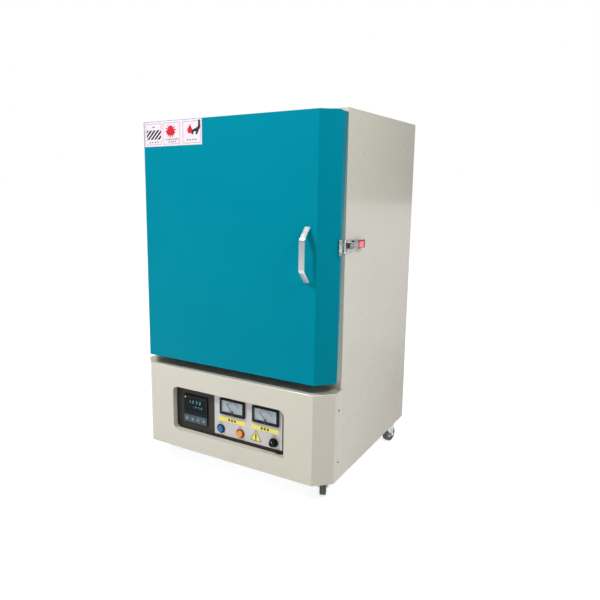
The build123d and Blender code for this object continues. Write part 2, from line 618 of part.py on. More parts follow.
TAPER = 8.0
with BuildPart() as door_blanket:
    with BuildSketch(Plane.XY.offset(DOOR_LOW)):
        nose_outline(DOOR_CREASE, DOOR_RETURN, FRONT)
        offset(amount=-SHEET - 0.5, kind=Kind.INTERSECTION, mode=Mode.REPLACE)
    extrude(amount=DOOR_HIGH - DOOR_LOW)
    with BuildSketch(Plane.XZ.offset(-PAN_BACK + SHEET)):
        door_silhouette(SHEET + 0.3)
    extrude(amount=NOSE, mode=Mode.INTERSECT)
with BuildPart() as plug_block:
    plug_middle = (0, sum(PLUG_Z) / 2)
    plug_size = (2 * PLUG_HALF, PLUG_Z[1] - PLUG_Z[0])
    slab(across(PLUG_HALF), (PAN_BACK - SHEET, FRONT), PLUG_Z)
    with BuildSketch(Plane.XZ.offset(-FRONT)):
        with Locations(plug_middle):
            Rectangle(*plug_size)
    with BuildSketch(Plane.XZ.offset(-FRONT - PLUG_DEPTH)):
        with Locations(plug_middle):
            Rectangle(plug_size[0] - 2 * TAPER, plug_size[1] - 2 * TAPER)
    loft()
save_group("door_plug", plug_block, door_blanket)

SEAL_RADIUS = 3.8
SEAL_Y = PAN_BACK + SEAL_RADIUS
SEAL_HALF = MOUTH_HALF + 30.0
SEAL_Z = (MOUTH_LOW - 30.0, MOUTH_HIGH + 30.0)
with BuildPart() as door_seal:
    with BuildLine():
        FilletPolyline(
            (-SEAL_HALF, SEAL_Y, SEAL_Z[0]),
            (SEAL_HALF, SEAL_Y, SEAL_Z[0]),
            (SEAL_HALF, SEAL_Y, SEAL_Z[1]),
            (-SEAL_HALF, SEAL_Y, SEAL_Z[1]),
            radius=20.0,
            close=True,
        )
    with BuildSketch(Plane(origin=(0, SEAL_Y, SEAL_Z[0]), z_dir=(1, 0, 0))):
        Circle(SEAL_RADIUS)
    sweep()
save(door_seal, "door_seal")

HANDLE_X = 275.0
HANDLE_WIDTH = 18.0
STRAP = 4.0
HANDLE_Z = (BASE + 600.0, BASE + 750.0)
STRAP_Z = (BASE + 632.0, BASE + 719.0)
strap_y = NOSE_Y - HANDLE_REACH + STRAP / 2
with BuildPart() as door_handle:
    with BuildSketch(Plane.YZ.offset(HANDLE_X - HANDLE_WIDTH / 2)):
        with BuildLine():
            FilletPolyline(
                (NOSE_Y + 6, HANDLE_Z[0] - 6),
                (strap_y, STRAP_Z[0]),
                (strap_y, STRAP_Z[1]),
                (NOSE_Y + 6, HANDLE_Z[1] + 6),
                radius=14,
            )
        trace(line_width=STRAP)
    extrude(amount=HANDLE_WIDTH)
    handle_x = (HANDLE_X - HANDLE_WIDTH, HANDLE_X + HANDLE_WIDTH)
    slab(handle_x, (NOSE_Y, NOSE_Y + 12), (HANDLE_Z[0] - 20, HANDLE_Z[1] + 20), Mode.SUBTRACT)
save(door_handle, "door_handle")

with BuildPart() as latch_keeper:
    slab((SIDE, SIDE + 1.5), (FRONT - 40, FRONT - 4), around(LATCH_Z, 19))
    slab((SIDE, SIDE + 8), (FRONT - 42, FRONT - 40), around(LATCH_Z, 22))
    fillet(latch_keeper.edges().filter_by(Axis.Y).group_by(Axis.X)[-1], radius=3.0)
    for z in around(LATCH_Z, 12):
        rod((SIDE - 1, FRONT - 14, z), (SIDE + 3, FRONT - 14, z), SCREW_RADIUS + 0.2, Mode.SUBTRACT)
save(latch_keeper, "latch_keeper")

with BuildPart() as keeper_screws:
    for z in around(LATCH_Z, 12):
        rod((SIDE + 1.5, FRONT - 14, z), (SIDE + 2.7, FRONT - 14, z), 3.4)
        rod((SIDE, FRONT - 14, z), (SIDE + 1.5, FRONT - 14, z), SCREW_RADIUS)
save(keeper_screws, "keeper_screws")

# ================================================================ draw latch
PIVOT_PIN = 2.0
with BuildPart() as latch_base:
    slab((SIDE, SIDE + 1.8), (FRONT + 4, FRONT + 58), around(LATCH_Z, 16.5))
    fillet(latch_base.edges().filter_by(Axis.X), radius=3.0)
    for side in (-1, 1):
        ear_z = sorted((LATCH_Z + side * 5.4, LATCH_Z + side * 7.0))
        slab((SIDE, LEVER_PIVOT[0] + 3.5), around(LEVER_PIVOT[1], 5), ear_z)
    rod((*LEVER_PIVOT, LATCH_Z - 20), (*LEVER_PIVOT, LATCH_Z + 20), PIVOT_PIN, Mode.SUBTRACT)
with BuildPart() as latch_fixings:
    rod((*LEVER_PIVOT, LATCH_Z - 7.5), (*LEVER_PIVOT, LATCH_Z + 7.5), PIVOT_PIN)
    for side in (-1, 1):
        rod((SIDE + 1.8, FRONT + 50, LATCH_Z + side * 9), (SIDE + 3.2, FRONT + 50, LATCH_Z + side * 9), 3.0)
save_group("latch_base", latch_base, latch_fixings)

LEVER_TIP = FRONT + 114.0
GRIP_START = FRONT + 74.0
PLATE_SPAN = (SIDE + 8.0, SIDE + 11.0)
with BuildPart() as latch_lever:
    rod((*LEVER_PIVOT, LATCH_Z - 5), (*LEVER_PIVOT, LATCH_Z + 5), 3.6)
    rod((*BAIL_PIVOT, LATCH_Z - 5), (*BAIL_PIVOT, LATCH_Z + 5), 3.6)
    with BuildSketch(Plane.XY.offset(LATCH_Z - 5)):
        Polygon(
            (LEVER_PIVOT[0] + 2.4, LEVER_PIVOT[1] - 1),
            (BAIL_PIVOT[0] + 1.0, BAIL_PIVOT[1]),
            (BAIL_PIVOT[0], BAIL_PIVOT[1] + 8),
            (BAIL_PIVOT[0] - 3.0, BAIL_PIVOT[1] + 8),
            (BAIL_PIVOT[0] - 3.4, BAIL_PIVOT[1]),
            (LEVER_PIVOT[0] - 2.6, LEVER_PIVOT[1] + 1),
            align=None,
        )
    extrude(amount=10)
    slab(PLATE_SPAN, (BAIL_PIVOT[1] + 6, LEVER_TIP), around(LATCH_Z, 8.5))
    fillet(latch_lever.edges().filter_by(Axis.X).group_by(Axis.Y)[-1], radius=5.0)
    rod((*LEVER_PIVOT, LATCH_Z - 6), (*LEVER_PIVOT, LATCH_Z + 6), PIVOT_PIN + 0.05, Mode.SUBTRACT)
    rod((*BAIL_PIVOT, LATCH_Z - 6), (*BAIL_PIVOT, LATCH_Z + 6), 1.55, Mode.SUBTRACT)
save(latch_lever, "latch_lever")

with BuildPart() as latch_grip:
    slab((PLATE_SPAN[0] - 2, PLATE_SPAN[1] + 3), (GRIP_START, LEVER_TIP + 2), around(LATCH_Z, 12))
    fillet(latch_grip.edges(), radius=3.2)
    slab(PLATE_SPAN, (GRIP_START - 1, LEVER_TIP), around(LATCH_Z, 8.5), Mode.SUBTRACT)
save(latch_grip, "latch_grip")

WIRE = 1.5
with BuildPart() as latch_bail:
    with BuildLine():
        FilletPolyline(
            (*BAIL_PIVOT, LATCH_Z + 7.5),
            (*BAIL_BAR, LATCH_Z + 16.5),
            (*BAIL_BAR, LATCH_Z - 16.5),
            (*BAIL_PIVOT, LATCH_Z - 7.5),
            radius=2.0,
            close=True,
        )
    with BuildSketch(Plane(origin=(*BAIL_PIVOT, LATCH_Z), z_dir=(0, 0, 1))):
        Circle(WIRE)
    sweep()
save(latch_bail, "latch_bail")

# ================================================================ casters
CROWN_Z = (57.5, 63.0)
RACE_RADIUS = 16.0
KING_RADIUS = 6.0
AXLE_RADIUS = 4.0
caster_places = {
    "front_left": (-CASTER_X[0], CASTER_Y[0]),
    "front_right": (CASTER_X[0], CASTER_Y[0]),
    "rear_left": (-CASTER_X[1], CASTER_Y[1]),
    "rear_right": (CASTER_X[1], CASTER_Y[1]),
}
with BuildPart() as caster_plates:
    for x, y in caster_places.values():
        slab(around(x, 25), around(y, 25), (BASE - 4, BASE))
    fillet(caster_plates.edges().filter_by(Axis.Z), radius=4.0)
    for x, y in caster_places.values():
        rod((x, y, CROWN_Z[1] + 0.4), (x, y, BASE - 4), RACE_RADIUS)
        rod((x, y, CROWN_Z[1]), (x, y, BASE - 4), KING_RADIUS + 0.05, Mode.SUBTRACT)
save(caster_plates, "caster_plates")


def turned(piece, x, y, turn):
    """A piece turned about the vertical line through (x, y)."""
    return Pos(x, y, 0) * Rot(0, 0, turn) * Pos(-x, -y, 0) * piece


def make_fork(name, x, y, turn):
    """The turning fork of a caster, with its axle bolt as a separate solid."""
    axle = (y - WHEEL_TRAIL, WHEEL_RADIUS)
    cheek_gap = WHEEL_WIDTH / 2 + 1.5
    cheek_out = cheek_gap + 2.5
    with BuildPart() as fork:
        slab(around(x, cheek_out), (axle[0] - 12, y + 15), CROWN_Z)
        for side in (-1, 1):
            with BuildSketch(Plane.YZ.offset(x + side * cheek_gap)):
                Polygon(
                    (axle[0] - 12, CROWN_Z[1]),
                    (axle[0] - 8, axle[1]),
                    (axle[0] + 8, axle[1]),
                    (y + 15, CROWN_Z[0]),
                    (y + 15, CROWN_Z[1]),
                    align=None,
                )
                with Locations(axle):
                    Circle(8.0)
            extrude(amount=side * 2.5)
        rod((x, y, CROWN_Z[1]), (x, y, BASE - 4.5), KING_RADIUS)
        rod((x - 30, *axle), (x + 30, *axle), AXLE_RADIUS, Mode.SUBTRACT)
    with BuildPart() as bolt:
        rod((x - cheek_out, *axle), (x + cheek_out, *axle), AXLE_RADIUS)
        rod((x - cheek_out - 3, *axle), (x - cheek_out, *axle), AXLE_RADIUS + 2.5)
        rod((x + cheek_out, *axle), (x + cheek_out + 3, *axle), AXLE_RADIUS + 2.5)
    group = Compound([turned(piece.part.solid(), x, y, turn) for piece in (fork, bolt)])
    group.label = name
    export_step(group, f"parts/{name}.step")


def make_wheel(name, x, y, turn):
    """A caster wheel with rounded tread edges, a dished face and a running bore."""
    axle = (y - WHEEL_TRAIL, WHEEL_RADIUS)
    half = WHEEL_WIDTH / 2
    with BuildPart() as wheel:
        rod((x - half, *axle), (x + half, *axle), WHEEL_RADIUS)
        fillet(wheel.edges().filter_by(GeomType.CIRCLE), radius=3.0)
        for side in (-1, 1):
            with BuildSketch(Plane.YZ.offset(x + side * half)):
                with Locations(axle):
                    Circle(18.0)
                    Circle(8.0, mode=Mode.SUBTRACT)
            extrude(amount=-side * 4, mode=Mode.SUBTRACT)
        rod((x - 20, *axle), (x + 20, *axle), AXLE_RADIUS + 0.06, Mode.SUBTRACT)
    placed = turned(wheel.part.solid(), x, y, turn)
    placed.label = name
    export_step(placed, f"parts/{name}.step")


for place, (caster_x, caster_y) in caster_places.items():
    make_fork(f"caster_fork_{place}", caster_x, caster_y, CASTER_TURN[place])
    make_wheel(f"caster_wheel_{place}", caster_x, caster_y, CASTER_TURN[place])
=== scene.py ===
import json
import math

import bmesh
import bpy
from mathutils import Matrix, Vector


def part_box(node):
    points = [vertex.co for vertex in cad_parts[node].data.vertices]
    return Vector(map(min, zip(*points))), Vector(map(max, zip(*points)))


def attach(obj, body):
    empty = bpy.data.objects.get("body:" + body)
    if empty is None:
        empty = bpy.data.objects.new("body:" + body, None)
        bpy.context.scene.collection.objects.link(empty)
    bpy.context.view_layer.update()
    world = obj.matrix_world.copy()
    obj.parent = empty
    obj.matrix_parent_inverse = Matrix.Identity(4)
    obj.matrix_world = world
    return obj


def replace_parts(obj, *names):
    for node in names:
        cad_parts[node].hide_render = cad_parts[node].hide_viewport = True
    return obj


# The looks of a front-loading pottery kiln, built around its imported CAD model.
# Metres, in the row's frame: X to the right, Y to the back, Z up, origin on the floor.

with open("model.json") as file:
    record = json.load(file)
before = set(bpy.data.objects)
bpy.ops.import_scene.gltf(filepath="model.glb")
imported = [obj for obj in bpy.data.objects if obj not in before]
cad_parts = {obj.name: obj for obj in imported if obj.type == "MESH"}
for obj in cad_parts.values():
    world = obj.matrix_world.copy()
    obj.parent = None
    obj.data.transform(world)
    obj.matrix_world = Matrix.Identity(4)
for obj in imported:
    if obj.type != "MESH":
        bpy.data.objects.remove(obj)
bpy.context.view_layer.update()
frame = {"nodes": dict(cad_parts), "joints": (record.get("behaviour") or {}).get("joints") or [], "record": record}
nodes = frame["nodes"]
record = frame["record"]
joints = {joint["name"]: joint for joint in frame["joints"]}

MM = 0.001
FILM = 0.2 * MM  # thickness of a printed label
INK = 0.08 * MM  # thickness of the print on it
WAVE = 0.314  # distance between the ridges of the wave texture at scale 1


# ======== shader building
def srgb(red, green, blue):
    """A colour given in 0 to 255, as linear light with alpha."""
    channels = [c / 255 for c in (red, green, blue)]
    return [c / 12.92 if c <= 0.04045 else ((c + 0.055) / 1.055) ** 2.4 for c in channels] + [1.0]


materials = {}  # each one under the name that it was given


class Shader:
    """A material whose textures lie in the row's own coordinates, in metres."""

    def __init__(self, name, settings):
        self.material = bpy.data.materials.new(name)
        materials[name] = self.material
        self.material.use_nodes = True
        self.tree = self.material.node_tree
        self.surface = self.tree.nodes["Principled BSDF"]
        self.place = self.node("ShaderNodeTexCoord").outputs["Object"]
        self.normal = None
        for socket, value in settings.items():
            self.surface.inputs[socket].default_value = value

    def node(self, kind, **settings):
        made = self.tree.nodes.new(kind)
        for key, value in settings.items():
            setattr(made, key, value)
        return made

    def feed(self, target, value):
        """Puts a constant or another node's output into a socket."""
        if isinstance(value, bpy.types.NodeSocket):
            self.tree.links.new(value, target)
        else:
            target.default_value = value

    def stretched(self, size, stretch):
        mapping = self.node("ShaderNodeMapping")
        mapping.inputs["Scale"].default_value = [1 / (size * s) for s in stretch]
        self.feed(mapping.inputs["Vector"], self.place)
        return mapping.outputs["Vector"]

    def noise(self, size, detail=3.0, stretch=(1, 1, 1)):
        """Noise with blobs about this many metres across, longer where stretch is over 1."""
        texture = self.node("ShaderNodeTexNoise")
        texture.inputs["Scale"].default_value = 1.0
        texture.inputs["Detail"].default_value = detail
        self.feed(texture.inputs["Vector"], self.stretched(size, stretch))
        return texture.outputs["Fac"]

    def cells(self, size, output="Distance", stretch=(1, 1, 1)):
        """Voronoi cells of about this size: the distance to each centre, or a colour for each cell."""
        texture = self.node("ShaderNodeTexVoronoi")
        texture.inputs["Scale"].default_value = 1.0
        self.feed(texture.inputs["Vector"], self.stretched(size, stretch))
        return texture.outputs[output]

    def bands(self, size, direction):
        """Straight ridges across a direction, one to each size."""
        texture = self.node("ShaderNodeTexWave", wave_type="BANDS", bands_direction=direction)
        texture.inputs["Scale"].default_value = WAVE / size
        self.feed(texture.inputs["Vector"], self.place)
        return texture.outputs["Fac"]

    def coordinate(self, axis):
        split = self.node("ShaderNodeSeparateXYZ")
        self.feed(split.inputs[0], self.place)
        return split.outputs[axis]

    def span(self, value, start, end, low=0, high=1):
        """Maps start to end onto low to high, and holds it there outside them."""
        ranged = self.node("ShaderNodeMapRange")
        for socket, given in zip(ranged.inputs, (value, start, end, low, high)):
            self.feed(socket, given)
        return ranged.outputs["Result"]

    def maths(self, operation, *values):
        made = self.node("ShaderNodeMath", operation=operation)
        for socket, value in zip(made.inputs, values):
            self.feed(socket, value)
        return made.outputs[0]

    def times(self, first, second):
        return self.maths("MULTIPLY", first, second)

    def mix(self, amount, first, second):
        mixer = self.node("ShaderNodeMix", data_type="RGBA")
        self.feed(mixer.inputs[0], amount)
        self.feed(mixer.inputs[6], first)
        self.feed(mixer.inputs[7], second)
        return mixer.outputs[2]

    def bump(self, height, depth):
        """Adds relief this many metres deep on top of what is already there."""
        relief = self.node("ShaderNodeBump")
        relief.inputs["Distance"].default_value = depth
        self.feed(relief.inputs["Height"], height)
        if self.normal is not None:
            self.feed(relief.inputs["Normal"], self.normal)
        self.normal = relief.outputs["Normal"]
        self.feed(self.surface.inputs["Normal"], self.normal)

    def colour(self, value):
        self.feed(self.surface.inputs["Base Color"], value)

    def rough(self, pattern, low, high, start=0.3, end=0.7):
        """Roughness from low to high as a pattern goes from start to end."""
        self.feed(self.surface.inputs["Roughness"], self.span(pattern, start, end, low, high))


# ======== materials
def enamel(name, colour, shade, dirt_and_shade, rough, specular, coat, low_rear_shade):
    """Powder coat: orange peel, faint clouds, wiped streaks, grime low down, and painted shade darkening it
    towards the low rear.
    """
    s = Shader(name, {
        "Specular IOR Level": specular, "Specular Tint": colour, "Coat Weight": coat, "Coat Roughness": 0.1})
    clouds = s.span(s.noise(0.5, 2), 0.35, 0.65)
    mottle = s.noise(0.02, 5)
    body = s.mix(clouds, colour, shade)
    wiped = s.span(s.noise(0.02, 6, (1, 1, 9)), 0.6, 0.85, 0, 0.07)
    body = s.mix(wiped, body, shade)
    low_down = s.span(s.coordinate("Z"), 0.07, 0.12, 0.2, 0)
    body = s.mix(s.times(low_down, s.span(mottle, 0.35, 0.7)), body, dirt_and_shade)
    specks = s.times(s.span(s.cells(0.05), 0.0, 0.02, 0.05, 0), s.span(mottle, 0.5, 0.6))
    body = s.mix(specks, body, dirt_and_shade)
    # painted shade: darkens the enamel towards its grime colour, more towards the bottom and the rear; full on the
    # cream, none on the teal
    rearward = s.span(s.coordinate("Y"), -0.24, 0.34, 0.12, 1.0)
    dull = s.times(s.span(s.coordinate("Z"), 0.2, 0.75, 1, 0), rearward)
    s.colour(s.mix(s.times(dull, low_rear_shade), body, dirt_and_shade))
    s.rough(mottle, rough - 0.05, rough + 0.06)
    s.bump(s.noise(0.0035, 2), 0.00005)
    s.bump(s.noise(0.4, 1), 0.0012)
    return s.material


def galvanised():
    """Zinc spangles of different greys, with dull patches."""
    s = Shader("galvanised_steel", {"Metallic": 0.85})
    spangle = s.cells(0.009, "Color")
    patch = s.noise(0.05, 4)
    s.colour(s.mix(s.span(spangle, 0.2, 0.8), srgb(176, 179, 180), srgb(214, 216, 216)))
    s.rough(patch, 0.32, 0.5)
    s.bump(s.noise(0.002, 3), 0.00006)
    return s.material


def plated(name, bright, dull):
    """Plated steel with rolling marks and a few dull spots."""
    s = Shader(name, {"Metallic": 1.0})
    cloud = s.noise(0.012, 4)
    s.colour(s.mix(s.span(cloud, 0.35, 0.7), bright, dull))
    s.rough(s.noise(0.003, 4, (1, 6, 1)), 0.16, 0.34)
    s.bump(s.noise(0.0012, 3, (1, 8, 1)), 0.00003)
    return s.material


def brushed_aluminium():
    """Satin anodised aluminium with fine lines along the strap."""
    s = Shader("brushed_aluminium", {"Metallic": 0.9})
    lines = s.noise(0.0007, 3, (1, 1, 60))
    s.colour(s.mix(s.span(lines, 0.35, 0.65), srgb(188, 192, 193), srgb(168, 172, 174)))
    s.rough(s.noise(0.015, 4), 0.24, 0.36)
    s.bump(lines, 0.000008)
    return s.material


def silver_plate():
    """A bead-blasted, silver-lacquered front plate."""
    s = Shader("silver_plate", {"Metallic": 0.25, "Specular IOR Level": 0.4})
    grain = s.noise(0.0006, 2)
    cloud = s.noise(0.06, 3)
    tone = s.mix(s.span(cloud, 0.35, 0.65), srgb(162, 159, 158), srgb(156, 153, 151))
    s.colour(s.mix(s.span(grain, 0.4, 0.7, 0, 0.5), tone, srgb(178, 175, 174)))
    s.rough(cloud, 0.38, 0.5)
    s.bump(grain, 0.00003)
    return s.material


def dark_panel():
    """Dark bronze paint over steel, with a fine texture."""
    s = Shader("dark_panel", {"Specular IOR Level": 0.2})
    cloud = s.noise(0.05, 4)
    s.colour(s.mix(s.span(cloud, 0.3, 0.7), srgb(31, 30, 27), srgb(41, 38, 34)))
    s.rough(cloud, 0.4, 0.52)
    s.bump(s.noise(0.0012, 3), 0.00005)
    return s.material


def moulded(name, colour, worn, grain, rough):
    """Moulded plastic or rubber with a spark-eroded grain."""
    s = Shader(name, {"Specular IOR Level": 0.13})
    patch = s.noise(0.02, 4)
    s.colour(s.mix(s.span(patch, 0.35, 0.75), colour, worn))
    s.rough(s.noise(0.006, 4), rough - 0.06, rough + 0.08)
    s.bump(s.noise(grain, 2), grain * 0.06)
    return s.material


def clear_window():
    """Clear moulded acrylic over the dials, with the faintest haze."""
    s = Shader("meter_glass", {"Transmission Weight": 1.0, "IOR": 1.2, "Specular IOR Level": 0.25})
    haze = s.noise(0.01, 4)
    s.colour(s.mix(haze, srgb(252, 254, 254), srgb(240, 246, 248)))
    s.rough(haze, 0.02, 0.08, 0.3, 0.8)
    return s.material


def dark_glass():
    """The programmer's smoked window, nearly black with a blue cast."""
    s = Shader("display_glass", {"Specular IOR Level": 0.08})
    haze = s.noise(0.03, 3)
    s.colour(s.mix(haze, srgb(2, 9, 13), srgb(6, 15, 20)))
    s.rough(s.noise(0.008, 5), 0.1, 0.22, 0.3, 0.8)
    return s.material


def paper(name, colour, tint, rough):
    """Printed card or film: even colour, a trace of fibre, and a little yellowing."""
    s = Shader(name, {"Specular IOR Level": 0.3})
    s.colour(s.mix(s.span(s.noise(0.02, 5), 0.35, 0.75), colour, tint))
    s.rough(s.noise(0.004, 4), rough - 0.08, rough + 0.08)
    s.bump(s.noise(0.0009, 3), 0.00002)
    return s.material


def lens(name, colour, deep, glow):
    """A lit push button's tinted lens, deeper in colour in the moulding's thick places."""
    s = Shader(name, {"Specular IOR Level": 0.3, "Coat Weight": 0.25, "Coat Roughness": 0.08})
    s.colour(s.mix(s.span(s.noise(0.005, 3), 0.35, 0.7), colour, deep))
    s.rough(s.noise(0.003, 3), 0.18, 0.3)
    s.surface.inputs["Emission Color"].default_value = colour
    s.surface.inputs["Emission Strength"].default_value = glow
    return s.material


def ceramic_fibre():
    """Pressed ceramic fibre: matted strands, soft dents and a slight scorch."""
    s = Shader("ceramic_fibre", {"Specular IOR Level": 0.1, "Sheen Weight": 0.2})
    strands = s.noise(0.0025, 6, (5, 1, 1))
    crossed = s.noise(0.002, 6, (1, 1, 6))
    scorch = s.span(s.noise(0.14, 4), 0.45, 0.75, 0, 0.55)
    body = s.mix(s.span(strands, 0.35, 0.7), srgb(208, 206, 198), srgb(186, 181, 168))
    body = s.mix(s.span(crossed, 0.45, 0.75, 0, 0.6), body, srgb(196, 191, 179))
    s.colour(s.mix(scorch, body, srgb(178, 163, 138)))
    s.rough(strands, 0.85, 1.0)
    s.bump(strands, 0.0004)
    s.bump(crossed, 0.0003)
    s.bump(s.noise(0.03, 3), 0.0008)
    return s.material


def hearth_ceramic():
    """Cordierite: buff, speckled and slightly glazed where ware has stood."""
    s = Shader("hearth_ceramic", {"Specular IOR Level": 0.25})
    speck = s.span(s.cells(0.004), 0.05, 0.2, 1, 0)
    stain = s.span(s.noise(0.07, 5), 0.45, 0.7, 0, 0.7)
    body = s.mix(stain, srgb(176, 158, 132), srgb(148, 126, 100))
    s.colour(s.mix(s.times(speck, 0.6), body, srgb(118, 96, 76)))
    s.rough(stain, 0.8, 0.6, 0, 0.7)
    s.bump(s.noise(0.0016, 4), 0.0003)
    return s.material


def resistance_alloy():
    """Heating wire, oxidised dark with brown and bluish patches."""
    s = Shader("resistance_alloy", {"Metallic": 0.5})
    patch = s.noise(0.02, 5)
    s.colour(s.mix(s.span(patch, 0.35, 0.7), srgb(104, 96, 90), srgb(70, 62, 66)))
    s.rough(patch, 0.5, 0.75)
    s.bump(s.noise(0.0015, 3), 0.00006)
    return s.material


def laminated_core():
    """Stacked transformer laminations under brown varnish."""
    s = Shader("transformer_core", {"Metallic": 0.2})
    layers = s.bands(0.0016, "Y")
    s.colour(s.mix(s.span(layers, 0.3, 0.7), srgb(92, 58, 38), srgb(58, 40, 32)))
    s.rough(s.noise(0.01, 4), 0.4, 0.6)
    s.bump(layers, 0.0002)
    return s.material


CREAM = srgb(167, 164, 154)
CREAM_SHADE = srgb(164, 161, 150)
TEAL = srgb(1, 107, 124)
TEAL_SHADE = srgb(1, 103, 121)

# the slots that the record names
enamel("cream_enamel", CREAM, CREAM_SHADE, srgb(134, 126, 112),
       rough=0.32, specular=0.4, coat=0.5, low_rear_shade=1.0)
enamel("teal_enamel", TEAL, TEAL_SHADE, srgb(4, 92, 108),
       rough=0.42, specular=0.05, coat=0.0, low_rear_shade=0.0)
galvanised()
plated("zinc_plate", srgb(172, 173, 175), srgb(136, 136, 134))
plated("bright_steel", srgb(244, 245, 247), srgb(222, 223, 224))
brushed_aluminium()
silver_plate()
dark_panel()
moulded("black_plastic", srgb(4, 6, 8), srgb(9, 12, 14), 0.001, 0.4)
moulded("grey_key", srgb(58, 70, 76), srgb(72, 84, 90), 0.0012, 0.5)
dark_glass()
clear_window()
paper("dial_card", srgb(186, 192, 196), srgb(178, 183, 186), 0.6)
moulded("pointer_black", srgb(20, 20, 22), srgb(36, 36, 38), 0.0006, 0.4)
lens("blue_lens", srgb(2, 86, 140), srgb(2, 60, 106), 0.02)
lens("orange_lens", srgb(198, 128, 44), srgb(178, 100, 24), 0.04)
moulded("red_grip", srgb(204, 24, 46), srgb(176, 14, 36), 0.0014, 0.26)
ceramic_fibre()
hearth_ceramic()
resistance_alloy()
laminated_core()
moulded("caster_rubber", srgb(88, 90, 84), srgb(64, 66, 60), 0.002, 0.5)

# print, lamps and mouldings that only this script adds
label_white = paper("label_white", srgb(186, 179, 185), srgb(178, 171, 178), 0.35)
label_pink = paper("label_pink", srgb(164, 108, 128), srgb(148, 96, 116), 0.4)
label_yellow = paper("label_yellow", srgb(194, 186, 80), srgb(186, 177, 72), 0.4)
ink_black = paper("ink_black", srgb(26, 20, 24), srgb(44, 36, 40), 0.45)
ink_red = paper("ink_red", srgb(176, 12, 38), srgb(142, 8, 30), 0.45)
ink_grey = paper("ink_grey", srgb(44, 48, 54), srgb(62, 66, 72), 0.45)
ink_brown = paper("ink_brown", srgb(136, 104, 48), srgb(112, 84, 40), 0.45)
legend_white = paper("legend_white", srgb(176, 186, 192), srgb(150, 162, 170), 0.45)
digit_teal = lens("digit_teal", srgb(84, 140, 148), srgb(70, 122, 130), 0.45)
lamp_white = lens("lamp_white", srgb(176, 186, 190), srgb(150, 160, 166), 0.15)
bezel_blue = moulded("bezel_blue", srgb(6, 26, 62), srgb(10, 36, 78), 0.0012, 0.3)
bezel_orange = moulded("bezel_orange", srgb(92, 44, 22), srgb(110, 56, 28), 0.0012, 0.3)
hub_grey = moulded("hub_grey", srgb(176, 178, 180), srgb(158, 160, 162), 0.002, 0.45)


def door_return(low, high):
    """The door pan: cream inside, grey returns (a painted reflection of the teal, darkening to teal upwards as
    painted shade), and teal wrapping onto them, further towards the top.
    """
    s = Shader("door_return", {"Specular IOR Level": 0.2})
    mottle = s.span(s.noise(0.02, 5), 0.3, 0.7)
    upward = s.span(s.coordinate("Z"), low.z, high.z)
    # painted reflection and painted shade: grey-green low down, darkening to teal towards the top
    grey = s.mix(upward, srgb(118, 124, 115), srgb(50, 96, 98))
    grey = s.mix(s.times(mottle, 0.3), grey, srgb(90, 106, 100))
    teal = s.mix(mottle, srgb(1, 96, 112), srgb(1, 90, 106))
    reach = s.span(upward, 0, 1, low.y, low.y + 27 * MM)
    behind = s.maths("SUBTRACT", s.coordinate("Y"), reach)
    outside = s.mix(s.span(behind, -1 * MM, 1 * MM), teal, grey)
    inside = s.mix(mottle, CREAM, CREAM_SHADE)
    aside = s.maths("ABSOLUTE", s.coordinate("X"))
    s.colour(s.mix(s.span(aside, high.x - 1.6 * MM, high.x - 1.2 * MM), inside, outside))
    s.rough(mottle, 0.34, 0.45, 0, 1)
    s.bump(s.noise(0.0035, 2), 0.00005)
    return s.material


def keeper_steel(lip_y):
    """The keeper: a plate darkened by painted shade, with a lip at the front brightened by a painted highlight."""
    s = Shader("keeper_steel", {"Metallic": 1.0})
    cloud = s.span(s.noise(0.012, 4), 0.4, 0.6)
    # painted shade on the plate and a painted highlight on the lip: dark and bright copies of one steel
    plate = s.mix(cloud, srgb(128, 136, 134), srgb(92, 100, 98))
    lip = s.mix(cloud, srgb(206, 216, 214), srgb(140, 152, 150))
    s.colour(s.mix(s.span(s.coordinate("Y"), lip_y, lip_y + 1 * MM), lip, plate))
    s.rough(s.noise(0.003, 4, (1, 6, 1)), 0.18, 0.36)
    s.bump(s.noise(0.0012, 3, (1, 8, 1)), 0.00003)
    return s.material


def dipped_grip(low, high):
    """Dipped vinyl: pink in the middle as a painted highlight, deep red at its end and along its rims as painted
    shade.
    """
    s = Shader("dipped_grip", {"Specular IOR Level": 0.4})
    cloud = s.span(s.noise(0.006, 4), 0.35, 0.7)
    # thin holds the painted highlight's pink, thick the painted shade's deep red
    thin = s.mix(cloud, srgb(216, 112, 124), srgb(206, 92, 106))
    thick = s.mix(cloud, srgb(136, 8, 26), srgb(112, 5, 20))
    # where the painted shade falls: along the rims and at the end
    aside = s.maths("ABSOLUTE", s.maths("SUBTRACT", s.coordinate("Z"), (low.z + high.z) / 2))
    rim = s.span(aside, 7.5 * MM, 9.5 * MM)
    end = s.span(s.coordinate("Y"), high.y - 16 * MM, high.y - 13 * MM)
    s.colour(s.mix(s.maths("MAXIMUM", rim, end), thin, thick))
    s.rough(cloud, 0.22, 0.34, 0, 1)
    s.bump(s.noise(0.0014, 2), 0.00008)
    return s.material


for part in record["subparts"]:
    surfaces = nodes[part["node"]].data.materials
    surfaces.clear()
    surfaces.append(materials[part["material_slot"]])
nodes["door_pan"].data.materials[0] = door_return(*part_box("door_pan"))
nodes["latch_keeper"].data.materials[0] = keeper_steel(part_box("latch_keeper")[0].y + 2 * MM)
nodes["latch_grip"].data.materials[0] = dipped_grip(*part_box("latch_grip"))


# ======== mesh building
def add_object(name, data):
    """Puts an object into the scene."""
    made = bpy.data.objects.new(name, data)
    bpy.context.scene.collection.objects.link(made)
    return made


